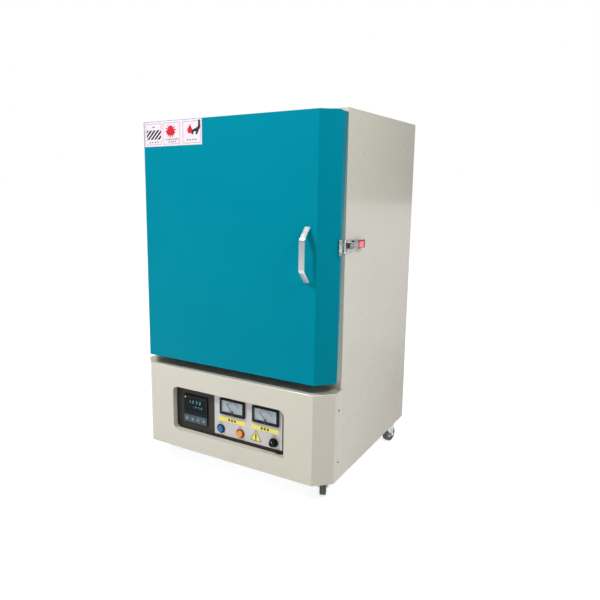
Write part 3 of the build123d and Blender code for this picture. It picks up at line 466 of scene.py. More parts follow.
def add_piece(name, mesh, body, material, slot=None, sharp=38):
    """Turns a bmesh into a shaded piece that rides on a body; the material may be given by name. The slot argument
    is not used.
    """
    if isinstance(material, str):
        slot = slot or material
        material = materials[material]
    bmesh.ops.remove_doubles(mesh, verts=mesh.verts, dist=1e-7)
    bmesh.ops.recalc_face_normals(mesh, faces=mesh.faces)
    data = bpy.data.meshes.new(name)
    mesh.to_mesh(data)
    mesh.free()
    data.shade_smooth()
    data.set_sharp_from_angle(angle=math.radians(sharp))
    data.materials.append(material)
    piece = add_object(name, data)
    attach(piece, body)
    return piece


def circle(count):
    """Equal steps round a circle, as cosine and sine."""
    return [(math.cos(math.tau * i / count), math.sin(math.tau * i / count)) for i in range(count)]


def facing(origin, axis):
    """Moves a shape drawn along Z to an origin and turns it along an axis."""
    return Matrix.Translation(origin) @ Vector(axis).to_track_quat("Z", "Y").to_matrix().to_4x4()


def skin(mesh, rings):
    """Faces between rings in a row, any of which may be a single point."""
    for a, b in zip(rings, rings[1:]):
        for i in range(max(len(a), len(b))):
            corners = [a[i % len(a)], a[(i + 1) % len(a)], b[(i + 1) % len(b)], b[i % len(b)]]
            mesh.faces.new(list(dict.fromkeys(corners)))


def standing(mesh, outline, front, back):
    """A flat piece standing in XZ: a closed prism over the outline's (x, z) corners."""
    near = [mesh.verts.new((x, front, z)) for x, z in outline]
    far = [mesh.verts.new((x, back, z)) for x, z in outline]
    mesh.faces.new(near)
    mesh.faces.new(far[::-1])
    for i in range(len(outline)):
        mesh.faces.new((near[i], near[i - 1], far[i - 1], far[i]))


def flat_piece(name, outline, front, back, body, material):
    """A flat piece of its own, standing in XZ."""
    mesh = bmesh.new()
    standing(mesh, outline, front, back)
    add_piece(name, mesh, body, material)


def rectangle(mesh, x, z, front, back):
    """The same over a rectangle, from x[0] to x[1] and z[0] to z[1]."""
    standing(mesh, [(x[0], z[0]), (x[1], z[0]), (x[1], z[1]), (x[0], z[1])], front, back)


def triangle(x, z, size, turn=0):
    """The corners of a triangle about a middle point, pointing up before it is turned."""
    angles = [math.radians(turn + a) for a in (90, 210, 330)]
    return [(x + size * math.cos(a), z + size * math.sin(a)) for a in angles]


def hoop(mesh, outer, inner, front, back):
    """A flat ring standing in XZ, between two outlines with as many corners each."""
    rings = [[mesh.verts.new((x, y, z)) for x, z in line]
             for line, y in ((outer, front), (inner, front), (inner, back), (outer, back))]
    for k in range(4):
        a, b = rings[k], rings[(k + 1) % 4]
        for i in range(len(outer)):
            mesh.faces.new((a[i - 1], a[i], b[i], b[i - 1]))


def rounded(x, z, width, height, radius, steps=5):
    """The corners of a rounded rectangle about a middle point."""
    points = []
    for turn, (sx, sz) in enumerate(((1, 1), (-1, 1), (-1, -1), (1, -1))):
        for step in range(steps + 1):
            angle = math.radians(90 * (turn + step / steps))
            points.append((x + sx * (width / 2 - radius) + radius * math.cos(angle),
                           z + sz * (height / 2 - radius) + radius * math.sin(angle)))
    return points


def turned(mesh, origin, axis, profile, steps=40):
    """Turns a profile of (radius, distance along the axis) about the axis."""
    placing = facing(origin, axis)
    skin(mesh, [[mesh.verts.new(placing @ Vector((radius * u, radius * v, along)))
                 for u, v in circle(steps if radius > 0 else 1)] for radius, along in profile])


def tube(mesh, points, radius, sides=6, closed=False):
    """A round wire along points, with a frame carried along so that it doesn't twist."""
    points = [Vector(p) for p in points]
    count = len(points)
    side = None
    rings = []
    for i, point in enumerate(points):
        before = points[i - 1] if closed or i else point
        after = points[(i + 1) % count] if closed or i < count - 1 else point
        along = (after - before).normalized()
        if side is None:
            side = along.orthogonal().normalized()
        side = (side - along * side.dot(along)).normalized()
        other = along.cross(side)
        rings.append([mesh.verts.new(point + radius * (side * u + other * v)) for u, v in circle(sides)])
    for i in range(count if closed else count - 1):
        a, b = rings[i], rings[(i + 1) % count]
        for k in range(sides):
            mesh.faces.new((a[k - 1], a[k], b[k], b[k - 1]))
    if not closed:
        mesh.faces.new(rings[0][::-1])
        mesh.faces.new(rings[-1])


def screw_head(mesh, seat, outward, radius, height, turn=0.3):
    """A domed head with a cross recess, resting on its seat."""
    placing = facing(seat, outward)
    rings, steps = 10, 32
    arm, reach, depth = radius * 0.14, radius * 0.62, height * 0.55
    grid = []
    for ring in range(rings + 1):
        share = ring / rings
        row = []
        for across, up in circle(steps if ring else 1):
            x, y = radius * share * across, radius * share * up
            u = x * math.cos(turn) + y * math.sin(turn)
            v = y * math.cos(turn) - x * math.sin(turn)
            top = height * (1 - 0.55 * share ** 2.5) if share < 1 else height * 0.35
            near_arm = min(abs(u), abs(v)) < arm and max(abs(u), abs(v)) < reach
            row.append(mesh.verts.new(placing @ Vector((x, y, top - (depth if near_arm else 0)))))
        grid.append(row)
    skirt = [mesh.verts.new(placing @ Vector((radius * u, radius * v, 0))) for u, v in circle(steps)]
    base = mesh.verts.new(placing @ Vector((0, 0, 0)))
    skin(mesh, grid + [skirt, [base]])


def arc_path(points, radii, steps=8):
    """Rounds a path of 2D points with an arc at each inner corner."""
    path = [Vector(points[0])]
    for before, corner, after, radius in zip(points, points[1:], points[2:], radii):
        corner = Vector(corner)
        back = (Vector(before) - corner).normalized()
        ahead = (Vector(after) - corner).normalized()
        half = back.angle(ahead) / 2
        middle = corner + (back + ahead).normalized() * radius / math.sin(half)
        start = corner + back * radius / math.tan(half) - middle
        end = corner + ahead * radius / math.tan(half) - middle
        turn = start.angle_signed(end)
        for step in range(steps + 1):
            path.append(middle + Matrix.Rotation(-turn * step / steps, 2) @ start)
    path.append(Vector(points[-1]))
    return path


def centre(node):
    low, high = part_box(node)
    return (low + high) / 2


# ======== control panel
panel_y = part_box("faceplate")[0].y
case_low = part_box("programmer_case")[0]
display_low, display_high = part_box("programmer_display")
screen_y = display_low.y

SEGMENTS = {  # each bar of a digit: middle and whether it stands upright
    "a": (0, 1, False), "b": (0.5, 0.5, True), "c": (0.5, -0.5, True), "d": (0, -1, False),
    "e": (-0.5, -0.5, True), "f": (-0.5, 0.5, True), "g": (0, 0, False),
}
LIT = {  # the bars that each digit lights
    "0": "abcdef", "1": "bc", "2": "abged", "3": "abgcd", "5": "afgcd"}


def seven_segments(mesh, text, x, z, height, pitch):
    """Digits made of seven bars, raised a hair from the screen, starting at a left middle."""
    half = height / 2
    bar = height * 0.085
    for place, digit in enumerate(text):
        for across, up, upright in (SEGMENTS[s] for s in LIT[digit]):
            long = half * 0.42
            middle = (x + pitch * (place + 0.5) + across * height * 0.52, z + up * half)
            ends = [(-long, 0), (-long + bar, bar), (long - bar, bar), (long, 0), (long - bar, -bar),
                    (-long + bar, -bar)]
            shape = [(v, u) for u, v in ends] if upright else ends
            shape = [(middle[0] + u + (middle[1] + v - z) * 0.1, middle[1] + v) for u, v in shape]
            standing(mesh, shape, screen_y - FILM, screen_y)


digits = bmesh.new()
seven_segments(digits, "1230", display_low.x + 9.5 * MM, display_high.z - 8 * MM, 9 * MM, 14 * MM)
seven_segments(digits, "1250", display_low.x + 26.5 * MM, display_low.z + 17 * MM, 6.5 * MM, 11 * MM)
add_piece("programmer_digits", digits, "cabinet", digit_teal)

lamp = bmesh.new()
turned(lamp, (display_low.x - 1 * MM, case_low.y, display_high.z + 4.5 * MM), (0, -1, 0),
       [(0, 0), (2.2 * MM, 0), (2.2 * MM, 0.4 * MM), (1.5 * MM, 0.8 * MM), (0, 1.0 * MM)], 20)
add_piece("programmer_lamp", lamp, "cabinet", lamp_white)

keys = [f"key_{i}" for i in range(1, 5)]
strip = bmesh.new()
strip_low, strip_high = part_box("key_1")[0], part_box("key_4")[1]
strip_x = (strip_low.x - 2 * MM, strip_high.x + 2 * MM)
strip_z = (strip_low.z - 3 * MM, strip_high.z + 3 * MM)
gaps = [(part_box(k)[0].x - 0.3 * MM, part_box(k)[1].x + 0.3 * MM) for k in keys]
posts = [strip_x[0]] + [x for gap in gaps for x in gap] + [strip_x[1]]
hole_z = (strip_low.z - 0.3 * MM, strip_high.z + 0.3 * MM)
for left, right in zip(posts[::2], posts[1::2]):
    rectangle(strip, (left, right), hole_z, case_low.y - FILM, case_low.y)
for band in ((strip_z[0], hole_z[0]), (hole_z[1], strip_z[1])):
    rectangle(strip, strip_x, band, case_low.y - FILM, case_low.y)
add_piece("key_strip", strip, "cabinet", "grey_key")

ARROW = 3.2 * MM
for key, turn in zip(keys, (None, 90, 180, 0)):
    legend = bmesh.new()
    middle = centre(key)
    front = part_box(key)[0].y
    if turn is None:
        hoop(legend, rounded(middle.x, middle.z, 7 * MM, 6 * MM, 1.5 * MM),
             rounded(middle.x, middle.z, 5.4 * MM, 4.4 * MM, 1 * MM), front - 0.1 * MM, front + 0.1 * MM)
    else:
        standing(legend, triangle(middle.x, middle.z, ARROW, turn), front - 0.1 * MM, front + 0.1 * MM)
    add_piece(f"{key}_legend", legend, key, legend_white)


def numeral(mesh, text, size, x, z, front, back):
    """A raised number on a dial, facing the front."""
    curve = bpy.data.curves.new("numeral", "FONT")
    curve.body = text
    curve.size = size
    curve.align_x = "CENTER"
    curve.align_y = "CENTER"
    curve.extrude = (back - front) / 2
    curve.resolution_u = 3
    writing = add_object("numeral", curve)
    shape = bpy.data.meshes.new_from_object(writing.evaluated_get(bpy.context.evaluated_depsgraph_get()))
    placing = Matrix.Translation((x, (front + back) / 2, z)) @ Matrix.Rotation(math.radians(90), 4, "X")
    shape.transform(placing)
    mesh.from_mesh(shape)
    bpy.data.objects.remove(writing)
    bpy.data.curves.remove(curve)
    bpy.data.meshes.remove(shape)


card_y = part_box("meter_dials")[0].y
meter_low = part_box("meter_cases")[0]
SCALE = 30 * MM
SWEEP = 45  # degrees either side of upright
for name, numbers in (("voltmeter", (0, 100, 200, 300, 400, 500)), ("ammeter", (0, 20, 40, 60, 80, 100))):
    pivot = Vector(joints[f"{name}_pointer_pivot"]["pos_m"])
    marks = bmesh.new()

    def dial_point(radius, angle, pivot=pivot):
        turn = math.radians(angle)
        return (pivot.x + radius * math.sin(turn), pivot.z + radius * math.cos(turn))

    def sector(mesh, inner, outer, start, end, steps, front):
        angles = [start + (end - start) * i / steps for i in range(steps + 1)]
        outline = [dial_point(outer, a) for a in angles] + [dial_point(inner, a) for a in angles[::-1]]
        standing(mesh, outline, front, card_y)

    sector(marks, SCALE, SCALE + 0.9 * MM, -SWEEP, SWEEP, 30, card_y - INK)
    for tick in range(26):
        angle = -SWEEP + 2 * SWEEP * tick / 25
        long = 4.2 if tick % 5 == 0 else 2.4
        wide = 0.9 if tick % 5 == 0 else 0.4
        sector(marks, SCALE + 0.5 * MM, SCALE + long * MM, angle - wide, angle + wide, 1, card_y - INK)
    for place, number in enumerate(numbers):
        x, z = dial_point(SCALE - 3.6 * MM, -SWEEP + 2 * SWEEP * place / 5)
        numeral(marks, str(number), 4.2 * MM, x, z, card_y - INK, card_y)
    add_piece(f"{name}_scale", marks, "cabinet", ink_grey)

    shield = bmesh.new()
    sector(shield, 0.5 * MM, 12 * MM, -88, 88, 30, card_y - 0.2 * MM)
    add_piece(f"{name}_shield", shield, "cabinet", label_white)

    adjuster = bmesh.new()
    screw_z = meter_low.z + 3.9 * MM
    turned(adjuster, (pivot.x, meter_low.y, screw_z), (0, -1, 0),
           [(0, 0), (2.6 * MM, 0), (2.6 * MM, 0.3 * MM), (2.3 * MM, 0.6 * MM), (0, 0.6 * MM)], 28)
    add_piece(f"{name}_adjuster", adjuster, "cabinet", "black_plastic")
    slot_line = bmesh.new()
    rectangle(slot_line, (pivot.x - 2.0 * MM, pivot.x + 2.0 * MM), (screw_z - 0.35 * MM, screw_z + 0.35 * MM),
              meter_low.y - 0.65 * MM, meter_low.y - 0.4 * MM)
    add_piece(f"{name}_adjuster_slot", slot_line, "cabinet", hub_grey)


def push_button(name, lens_material, bezel_material, slot):
    """A lit push button: a bezel on the plate, and a dished lens with a raised middle."""
    low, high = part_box(name)
    middle = (low + high) / 2
    radius = (high.x - low.x) / 2
    at_plate = (middle.x, panel_y, middle.z)
    proud = panel_y - low.y
    cap = bmesh.new()
    turned(cap, at_plate, (0, -1, 0), [
        (0, panel_y - high.y), (radius, panel_y - high.y), (radius, proud - 1.2 * MM),
        (radius - 0.4 * MM, proud - 0.4 * MM), (radius - 1.2 * MM, proud),
        (radius - 2.0 * MM, proud - 0.3 * MM), (radius - 2.8 * MM, proud - 1.3 * MM),
        (radius - 4.4 * MM, proud - 1.6 * MM), (radius - 5.4 * MM, proud - 1.1 * MM),
        (radius - 7.0 * MM, proud - 0.7 * MM), (0, proud - 0.5 * MM)], 56)
    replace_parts(add_piece(f"{name}_cap", cap, name, lens_material, slot), name)
    bezel = bmesh.new()
    outer, bore = 15 * MM, radius + 0.2 * MM
    turned(bezel, at_plate, (0, -1, 0), [
        (bore, -20 * MM), (12.3 * MM, -20 * MM), (12.3 * MM, 0), (outer, 0), (outer, 1.6 * MM),
        (outer - 0.5 * MM, 2.6 * MM), (outer - 1.6 * MM, 3.6 * MM), (outer - 2.6 * MM, 4.0 * MM),
        (bore + 0.5 * MM, 4.0 * MM), (bore, 3.6 * MM), (bore, -20 * MM)], 56)
    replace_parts(add_piece(f"{name}_bezel", bezel, "cabinet", bezel_material, slot), "panel_bushes")


push_button("start_button", materials["blue_lens"], bezel_blue, "blue_lens")
push_button("stop_button", materials["orange_lens"], bezel_orange, "orange_lens")

knob_middle = centre("power_knob")
knob_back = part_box("power_knob")[1].y
bush = bmesh.new()
turned(bush, (knob_middle.x, panel_y, knob_middle.z), (0, -1, 0), [
    (3.05 * MM, -24 * MM), (4.9 * MM, -24 * MM), (4.9 * MM, 0), (8 * MM, 0), (8 * MM, 1.0 * MM),
    (7.5 * MM, 1.5 * MM), (3.05 * MM, 1.5 * MM), (3.05 * MM, -24 * MM)], 40)
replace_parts(add_piece("knob_bush", bush, "cabinet", "zinc_plate", "black_plastic"), "panel_bushes")

FLUTES = 18
knob = bmesh.new()
knob_profile = [  # radius, distance in front of the plate, share of the fluting
    (0, 2, 0), (14.2, 2, 0), (14.5, 2.6, 0), (14.5, 4.6, 0), (13.6, 5.8, 0), (11.4, 6.4, 0),
    (11.0, 7.2, 0.5), (10.9, 9, 1), (10.7, 14, 1), (10.4, 16, 1), (9.8, 17.4, 0.5), (8.6, 18.0, 0),
    (7.6, 17.7, 0), (0, 17.4, 0)]
rows = []
for radius, along, fluted in knob_profile:
    count = FLUTES * 8 if radius else 1
    row = []
    for i, (u, v) in enumerate(circle(count)):
        angle = math.tau * i / count
        grip = radius - fluted * 0.45 * (1 - abs(math.cos(angle * FLUTES / 2))) * 1.6
        row.append(knob.verts.new(
            (knob_middle.x + grip * MM * u, panel_y - along * MM, knob_middle.z + grip * MM * v)))
    rows.append(row)
skin(knob, rows)
turned(knob, (knob_middle.x, panel_y - 2 * MM, knob_middle.z), (0, 1, 0), [
    (0, 0), (3.0 * MM, 0), (3.0 * MM, knob_back - panel_y + 1 * MM), (0, knob_back - panel_y + 2 * MM)], 24)
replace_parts(add_piece("knob_body", knob, "power_knob", "black_plastic"), "power_knob")
line = bmesh.new()
rectangle(line, (knob_middle.x - 0.6 * MM, knob_middle.x + 0.6 * MM),
          (knob_middle.z + 4 * MM, knob_middle.z + 8.4 * MM), panel_y - 18.1 * MM, panel_y - 17.6 * MM)
add_piece("knob_line", line, "power_knob", legend_white)


# ======== printed labels
def plate_label(name, x, z, material, y, body):
    """A thin rectangular label from x[0] to x[1] and z[0] to z[1]."""
    width, height = x[1] - x[0], z[1] - z[0]
    outline = rounded(sum(x) / 2, sum(z) / 2, width, height, min(1.2 * MM, height / 3))
    flat_piece(name, outline, y - FILM, y, body, material)


def ink_marks(name, boxes, material, y, body):
    """Small printed bars: (x, z, width, height) each."""
    marks = bmesh.new()
    for x, z, width, height in boxes:
        rectangle(marks, (x - width / 2, x + width / 2), (z - height / 2, z + height / 2), y - INK, y)
    add_piece(name, marks, body, material)


button_z = centre("start_button").z
strips = {"voltmeter": (-53 * MM, 47 * MM), "ammeter": (-52 * MM, 44 * MM)}
for name, (left, right) in strips.items():
    pivot = Vector(joints[f"{name}_pointer_pivot"]["pos_m"])
    label_x = (pivot.x + left, pivot.x + right)
    label_z = (meter_low.z - 24.5 * MM, meter_low.z - 10.5 * MM)
    plate_label(f"{name}_strip", label_x, label_z, label_yellow, panel_y, "cabinet")
    middle_x, middle_z = sum(label_x) / 2, sum(label_z) / 2
    bars = [(middle_x + 11 * MM * i, middle_z, 6.6 * MM, 8 * MM) for i in (-1, 0, 1)]
    ink_marks(f"{name}_strip_marks", bars, ink_black, panel_y - FILM, "cabinet")

for control in ("start_button", "stop_button", "power_knob"):
    x = centre(control).x
    tag_z = button_z + 20 * MM
    bars = [(x + 4.6 * MM * i, tag_z, 3.2 * MM, 3.4 * MM) for i in (-1, 0, 1)]
    ink_marks(f"{control}_tag", bars, ink_brown, panel_y - FILM * 1.2, "cabinet")

TRIANGLE = 24 * MM
triangle_x = (centre("stop_button").x + knob_middle.x) / 2 - 4 * MM
triangle_z = button_z + 0.5 * MM
for name, size, material, y in (("caution_border", 1.0, ink_black, panel_y),
                                ("caution_field", 0.86, label_yellow, panel_y - FILM)):
    corners = triangle(triangle_x, triangle_z, size * TRIANGLE)
    outline = [tuple(p) for p in arc_path(corners + corners[:2], [2.2 * MM * size] * 3, 5)[1:-1]]
    flat_piece(name, outline, y - FILM, y, "cabinet", material)
ink_marks("caution_bar", [(triangle_x, triangle_z + 4.0 * MM, 4.6 * MM, 17 * MM),
                          (triangle_x, triangle_z - 8.0 * MM, 4.6 * MM, 3.6 * MM)],
          ink_black, panel_y - FILM * 2, "cabinet")

door_low, door_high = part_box("door_skin")
door_y = door_low.y
LABEL_WIDTH = 225 * MM
LABEL_HEIGHT = 75 * MM
label_left = door_low.x + 48.5 * MM
label_top = door_high.z - 1.4 * MM
plate_label("door_label", (label_left, label_left + LABEL_WIDTH), (label_top - LABEL_HEIGHT, label_top),
            label_white, door_y, "door")
cell_y = door_y - FILM


def on_label(u, v):
    """A point on the door label: u from its left edge, v from its bottom, both 0 to 1."""
    return (label_left + u * LABEL_WIDTH, label_top - LABEL_HEIGHT * (1 - v))


cells = [(0.015, 0.305), (0.335, 0.63), (0.68, 0.985)]
borders = bmesh.new()
for start, end in cells:
    x, z = on_label((start + end) / 2, 0.5)
    width, height = LABEL_WIDTH * (end - start), LABEL_HEIGHT * 0.86
    inner = rounded(x, z, width - 2.6 * MM, height - 2.6 * MM, 1.2 * MM)
    hoop(borders, rounded(x, z, width, height, 2 * MM), inner, cell_y - INK, cell_y)
add_piece("door_label_borders", borders, "door", label_pink)

hatching = bmesh.new()
HATCH_WIDTH, HATCH_HEIGHT = 58 * MM, 29 * MM
STRIPE, STRIPE_PITCH = 8.2 * MM, 14.4 * MM
hatch_x, hatch_z = on_label(0.04, 0.28)
start = -HATCH_HEIGHT + 1 * MM
while start < HATCH_WIDTH - 1 * MM:
    bottom, top = max(0, -start - STRIPE), min(HATCH_HEIGHT, HATCH_WIDTH - start)
    bends = [v for v in (-start, HATCH_WIDTH - start - STRIPE) if bottom < v < top]
    heights = [bottom] + sorted(bends) + [top]
    left = [(max(0, start + v), v) for v in heights]
    right = [(min(HATCH_WIDTH, start + STRIPE + v), v) for v in heights[::-1]]
    outline = list(dict.fromkeys((round(hatch_x + u, 6), round(hatch_z + v, 6)) for u, v in left + right))
    standing(hatching, outline, cell_y - INK, cell_y)
    start += STRIPE_PITCH
add_piece("door_label_hatching", hatching, "door", ink_black)

burst_x, burst_z = on_label(0.472, 0.59)
points = []
for spike, (u, v) in enumerate(circle(26)):
    reach = (22 if spike % 2 else 14) * MM * (1 + 0.14 * math.sin(spike * 2.4))
    points.append((burst_x + reach * u, burst_z + 0.95 * reach * v))
flat_piece("door_label_burst", points, cell_y - INK, cell_y, "door", ink_red)

flame_x, flame_z = on_label(0.8, 0.57)
outline = []
for up, across in circle(36):
    lift = max(0, up) ** 4
    outline.append((flame_x + 9.5 * MM * across * (1 - 0.55 * lift) + 1.5 * MM * lift,
                    flame_z + 9 * MM * up + 9 * MM * lift))
flat_piece("door_label_flame", outline, cell_y - INK, cell_y, "door", ink_red)

outline = [on_label(u, v) for u, v in (  # a bent bar with two prongs over the flame
    (0.94, 0.96), (0.97, 0.96), (0.975, 0.67), (0.95, 0.55), (0.92, 0.39), (0.89, 0.41), (0.908, 0.51),
    (0.87, 0.52), (0.853, 0.4), (0.825, 0.42), (0.832, 0.57), (0.875, 0.62), (0.925, 0.67), (0.94, 0.76))]
flat_piece("door_label_prongs", outline, cell_y - INK * 1.5, cell_y, "door", ink_black)

captions = [(*on_label(0.167, 0.79), 9 * MM, 2.6 * MM)]
for start, end, v, count, size in (
        (0.1, 0.24, 0.17, 4, 4.6), (0.4, 0.6, 0.26, 9, 3.0), (0.44, 0.55, 0.165, 4, 4.0),
        (0.76, 0.9, 0.2, 4, 4.8)):
    for i in range(count):
        captions.append((*on_label(start + (end - start) * i / (count - 1), v), size * MM, 3.6 * MM))
ink_marks("door_label_marks", captions, ink_grey, cell_y, "door")

# ======== door
handle_low, handle_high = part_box("door_handle")
STRAP = 4 * MM
at_reach = handle_low.y + STRAP / 2
skew = STRAP / math.sqrt(2)
handle_path = arc_path([
    (door_y, handle_low.z + skew), (at_reach, handle_low.z + 34.8 * MM),
    (at_reach, handle_high.z - 33.8 * MM), (door_y, handle_high.z - skew)], [14 * MM, 14 * MM], 10)
strap = bmesh.new()
half_strap = (handle_high.x - handle_low.x) / 2
strap_x = (handle_low.x + handle_high.x) / 2
section = []  # an oval, squarer across than through
for u, v in circle(28):
    across = math.copysign(abs(u) ** 0.45, u)
    through = math.copysign(abs(v) ** 0.75, v)
    section.append((across * half_strap, through * STRAP / 2))
rings = []
for i, point in enumerate(handle_path):
    along = (handle_path[min(i + 1, len(handle_path) - 1)] - handle_path[max(i - 1, 0)]).normalized()
    out = Vector((-along.y, along.x))
    ring = []
    for u, v in section:
        y, z = point.x + out.x * v, point.y + out.y * v
        if i in (0, len(handle_path) - 1):
            z += (door_y - y) * along.y / along.x
            y = door_y
        ring.append(strap.verts.new((strap_x + u, y, z)))
    rings.append(ring)
skin(strap, rings)
strap.faces.new(rings[0])
strap.faces.new(rings[-1][::-1])
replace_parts(add_piece("handle_strap", strap, "door", "brushed_aluminium"), "door_handle")

seal_low, seal_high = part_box("door_seal")
seal_y = (seal_low.y + seal_high.y) / 2
seal_radius = (seal_high.y - seal_low.y) / 2
STRAND = seal_radius * 0.46
TURNS = 96
CORNER = 20 * MM
loop_width = seal_high.x - seal_low.x - 2 * seal_radius
loop_height = seal_high.z - seal_low.z - 2 * seal_radius
loop_middle = (seal_low + seal_high) / 2
straight = [loop_height - 2 * CORNER, loop_width - 2 * CORNER]
loop_length = 2 * sum(straight) + math.tau * CORNER


def seal_point(share):
    """A place on the seal's line and its outward direction, share running from 0 to 1 round the loop."""
    left = share * loop_length
    corners = [(1, 1), (-1, 1), (-1, -1), (1, -1)]
    for turn, (sx, sz) in enumerate(corners):
        middle = Vector((loop_middle.x + sx * (loop_width / 2 - CORNER), 0,
                         loop_middle.z + sz * (loop_height / 2 - CORNER)))
        bend = math.pi / 2 * CORNER
        if left <= bend:
            angle = math.pi / 2 * turn + left / CORNER
            out = Vector((math.cos(angle), 0, math.sin(angle)))
            return middle + out * CORNER, out
        left -= bend
        run = straight[(turn + 1) % 2]
        if left <= run or turn == 3:
            angle = math.pi / 2 * (turn + 1)
            out = Vector((math.cos(angle), 0, math.sin(angle)))
            along = Vector((-out.z, 0, out.x))
            return middle + out * CORNER + along * left, out
        left -= run


seal_mesh = bmesh.new()
SEAL_STEPS = TURNS * 12
for strand in range(3):
    line_points = []
    for step in range(SEAL_STEPS):
        spot, out = seal_point(step / SEAL_STEPS)
        angle = math.tau * (TURNS * step / SEAL_STEPS + strand / 3)
        offset = out * math.cos(angle) + Vector((0, 1, 0)) * math.sin(angle)
        line_points.append(spot + Vector((0, seal_y, 0)) + offset * (seal_radius - STRAND))
    tube(seal_mesh, line_points, STRAND, 6, closed=True)
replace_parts(add_piece("seal_rope", seal_mesh, "door", "ceramic_fibre", sharp=80), "door_seal")

# ======== firing chamber
element_low, element_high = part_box("heating_elements")
groove_radius = 5.5 * MM
WIRE = 1.0 * MM
PITCH = 5.2 * MM
element_rows = 6
row_step = (element_high.z - element_low.z - 2 * groove_radius) / (element_rows - 1)
coils = bmesh.new()
for x in (element_low.x + groove_radius, element_high.x - groove_radius):
    for row in range(element_rows):
        z = element_low.z + groove_radius + row * row_step
        turns = round((element_high.y - element_low.y) / PITCH)
        around = []
        for step in range(turns * 10 + 1):
            angle = math.tau * step / 10
            along = element_low.y + WIRE + (element_high.y - element_low.y - 2 * WIRE) * step / (turns * 10)
            around.append((x + (groove_radius - WIRE) * math.cos(angle), along,
                           z + (groove_radius - WIRE) * math.sin(angle)))
        tube(coils, around, WIRE, 5)
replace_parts(add_piece("element_coils", coils, "cabinet", "resistance_alloy", sharp=80), "heating_elements")

# ======== fasteners
cabinet_low_x, cabinet_high_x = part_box("left_side_panel")[0].x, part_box("right_side_panel")[1].x
screw_low, screw_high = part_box("cabinet_screws")
rear_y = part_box("rear_panel")[1].y
HEAD = 4.2 * MM
HEAD_HEIGHT = 2.2 * MM
heads = bmesh.new()
cover_low, cover_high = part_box("control_cover")
cover_screw_y = cover_high.y - 31 * MM
for z in (cover_low.z + 56 * MM, cover_low.z + 216 * MM):
    screw_head(heads, (cabinet_low_x, cover_screw_y, z), (-1, 0, 0), HEAD, HEAD_HEIGHT, 0.5)
    screw_head(heads, (cabinet_high_x, cover_screw_y, z), (1, 0, 0), HEAD, HEAD_HEIGHT, 1.1)
rear_step = (screw_high.z - screw_low.z - 2 * HEAD) / 4
for x in (screw_low.x + 16.2 * MM, screw_high.x - 16.2 * MM):
    for row in range(5):
        seat = (x, rear_y, screw_low.z + HEAD + rear_step * row)
        screw_head(heads, seat, (0, 1, 0), HEAD, HEAD_HEIGHT, row * 0.7)
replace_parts(add_piece("screw_heads", heads, "cabinet", "zinc_plate"), "cabinet_screws")

for node, body in (("hinge_cabinet_leaves", "cabinet"), ("hinge_door_leaves", "door")):
    leaf_low, leaf_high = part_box(node)
    leaf_screws = bmesh.new()
    outer_x = cabinet_low_x - 3.3 * MM
    y = leaf_high.y - 14 * MM if body == "cabinet" else leaf_low.y + 4.5 * MM
    size = 4.0 * MM if body == "cabinet" else 3.2 * MM
    for hinge in (leaf_low.z + 30 * MM, leaf_high.z - 30 * MM):
        for side in (-1, 1):
            seat = (outer_x, y, hinge + side * 20 * MM)
            screw_head(leaf_screws, seat, (-1, 0, 0), size, 1.2 * MM, hinge * 9)
    add_piece(f"{node}_screws", leaf_screws, body, "zinc_plate")

latch_low, latch_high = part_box("latch_base")
latch_screws = bmesh.new()
for side in (-1, 1):
    seat = (latch_low.x + 1.8 * MM, latch_low.y + 46 * MM, (latch_low.z + latch_high.z) / 2 + side * 9 * MM)
    turned(latch_screws, seat, (1, 0, 0), [
        (0, 1.6 * MM), (1.7 * MM, 1.6 * MM), (1.8 * MM, 2.4 * MM), (3.2 * MM, 2.3 * MM), (3.6 * MM, 1.8 * MM),
        (3.6 * MM, 0), (0, 0)], 24)
add_piece("latch_screws", latch_screws, "cabinet", "black_plastic", "zinc_plate")

# ======== casters
for place in ("front_left", "front_right", "rear_left", "rear_right"):
    wheel = f"caster_wheel_{place}"
    axle = joints[f"caster_roll_{place}"]
    middle, direction = Vector(axle["pos_m"]), Vector(axle["axis"])
    hub = bmesh.new()
    for side in (-1, 1):
        turned(hub, middle + direction * side * 10 * MM, direction * side, [
            (8.1 * MM, -4 * MM), (8.1 * MM, -1.2 * MM), (9 * MM, -0.8 * MM), (15.6 * MM, -2.2 * MM),
            (16.8 * MM, -3.0 * MM), (17.6 * MM, -4 * MM), (8.1 * MM, -4 * MM)], 40)
    add_piece(f"{wheel}_hub", hub, wheel, hub_grey, "caster_rubber")

# ======== softened edges of CAD pieces
EDGE = {  # width in millimetres
    "chamber_left": 1.5, "chamber_right": 1.5, "chamber_floor": 1.5, "chamber_roof": 1.5, "chamber_back": 1.5,
    "hearth_plate": 1.2, "latch_keeper": 0.4, "latch_base": 0.3, "hinge_cabinet_leaves": 0.4,
    "hinge_door_leaves": 0.4, "rear_junction_box": 0.5,
}
for node, width in EDGE.items():
    joined = nodes[node].modifiers.new("joined", "WELD")
    joined.merge_threshold = 1e-6
    soft = nodes[node].modifiers.new("edge", "BEVEL")
    soft.width = width * MM
    soft.segments = 2
    soft.limit_method = "ANGLE"
    soft.angle_limit = math.radians(50)

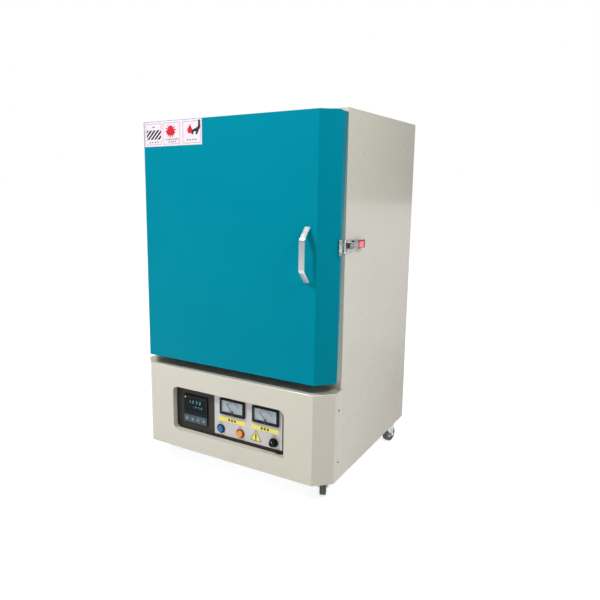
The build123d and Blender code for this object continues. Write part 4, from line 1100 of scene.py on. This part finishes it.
# ======== studio
HORIZON = 0.1
ZENITH = 0.8
floor_mesh = bpy.data.meshes.new("floor")
FLOOR = 30
floor_corners = [(u * FLOOR, v * FLOOR, 0) for u, v in ((-1, -1), (1, -1), (1, 1), (-1, 1))]
floor_mesh.from_pydata(floor_corners, [], [range(4)])
floor = add_object("floor", floor_mesh)
floor_paint = Shader("floor_paint", {"Specular IOR Level": 0.1})
floor_paint.colour(floor_paint.mix(floor_paint.noise(1.5, 3), [0.5, 0.5, 0.5, 1], [0.53, 0.53, 0.53, 1]))
floor_paint.surface.inputs["Emission Color"].default_value = (1.0, 1.0, 1.0, 1.0)
floor_paint.surface.inputs["Emission Strength"].default_value = 0.72
floor_paint.rough(floor_paint.noise(0.3, 3), 0.6, 0.7)
floor_mesh.materials.append(floor_paint.material)

world = bpy.data.worlds.new("studio")
world.use_nodes = True
sky = world.node_tree
background = sky.nodes["Background"]
background.inputs["Color"].default_value = (1.0, 1.0, 1.0, 1.0)
height = sky.nodes.new("ShaderNodeSeparateXYZ")
sky.links.new(sky.nodes.new("ShaderNodeTexCoord").outputs["Generated"], height.inputs[0])
brightness = sky.nodes.new("ShaderNodeMapRange")
for socket, given in zip(list(brightness.inputs)[1:5], (0.0, 0.9, HORIZON, ZENITH)):
    socket.default_value = given
sky.links.new(height.outputs["Z"], brightness.inputs[0])
seen = sky.nodes.new("ShaderNodeMix")
seen.inputs["B"].default_value = 1.0
sky.links.new(sky.nodes.new("ShaderNodeLightPath").outputs["Is Camera Ray"], seen.inputs["Factor"])
sky.links.new(brightness.outputs["Result"], seen.inputs["A"])
sky.links.new(seen.outputs["Result"], background.inputs["Strength"])
bpy.context.scene.world = world


def softbox(name, place, target, size, power):
    """A square area lamp aimed at a point."""
    lamp_data = bpy.data.lights.new(name, "AREA")
    lamp_data.shape = "SQUARE"
    lamp_data.size = size
    lamp_data.energy = power
    lamp_object = add_object(name, lamp_data)
    lamp_object.location = place
    lamp_object.rotation_euler = (Vector(target) - Vector(place)).to_track_quat("-Z", "Y").to_euler()


softbox("key", (-1.5, -2.3, 3.5), (0, -0.3, 0.6), 0.6, 208)
softbox("side_fill", (1.5, -0.7, 1.9), (0.35, 0, 0.9), 0.5, 25)

bpy.context.scene.view_settings.view_transform = "Standard"

# ======== camera
AZIMUTH = math.radians(33.67)
ELEVATION = math.radians(9.87)
ROLL = math.radians(-0.26)
CAMERA_PLACE = (1.0047, -1.8042, 0.9324)
camera_data = bpy.data.cameras.new("camera")
camera_data.lens = 35.75
camera_data.shift_x = 0.1137
camera_data.shift_y = -0.017
camera = add_object("camera", camera_data)
forward = Vector((-math.sin(AZIMUTH) * math.cos(ELEVATION), math.cos(AZIMUTH) * math.cos(ELEVATION),
                  -math.sin(ELEVATION)))
level = Vector((math.cos(AZIMUTH), math.sin(AZIMUTH), 0))
upward = level.cross(forward)
right = level * math.cos(ROLL) + upward * math.sin(ROLL)
top = upward * math.cos(ROLL) - level * math.sin(ROLL)
looking = Matrix((right, top, -forward)).transposed().to_4x4()
camera.matrix_world = Matrix.Translation(CAMERA_PLACE) @ looking
bpy.context.scene.camera = camera
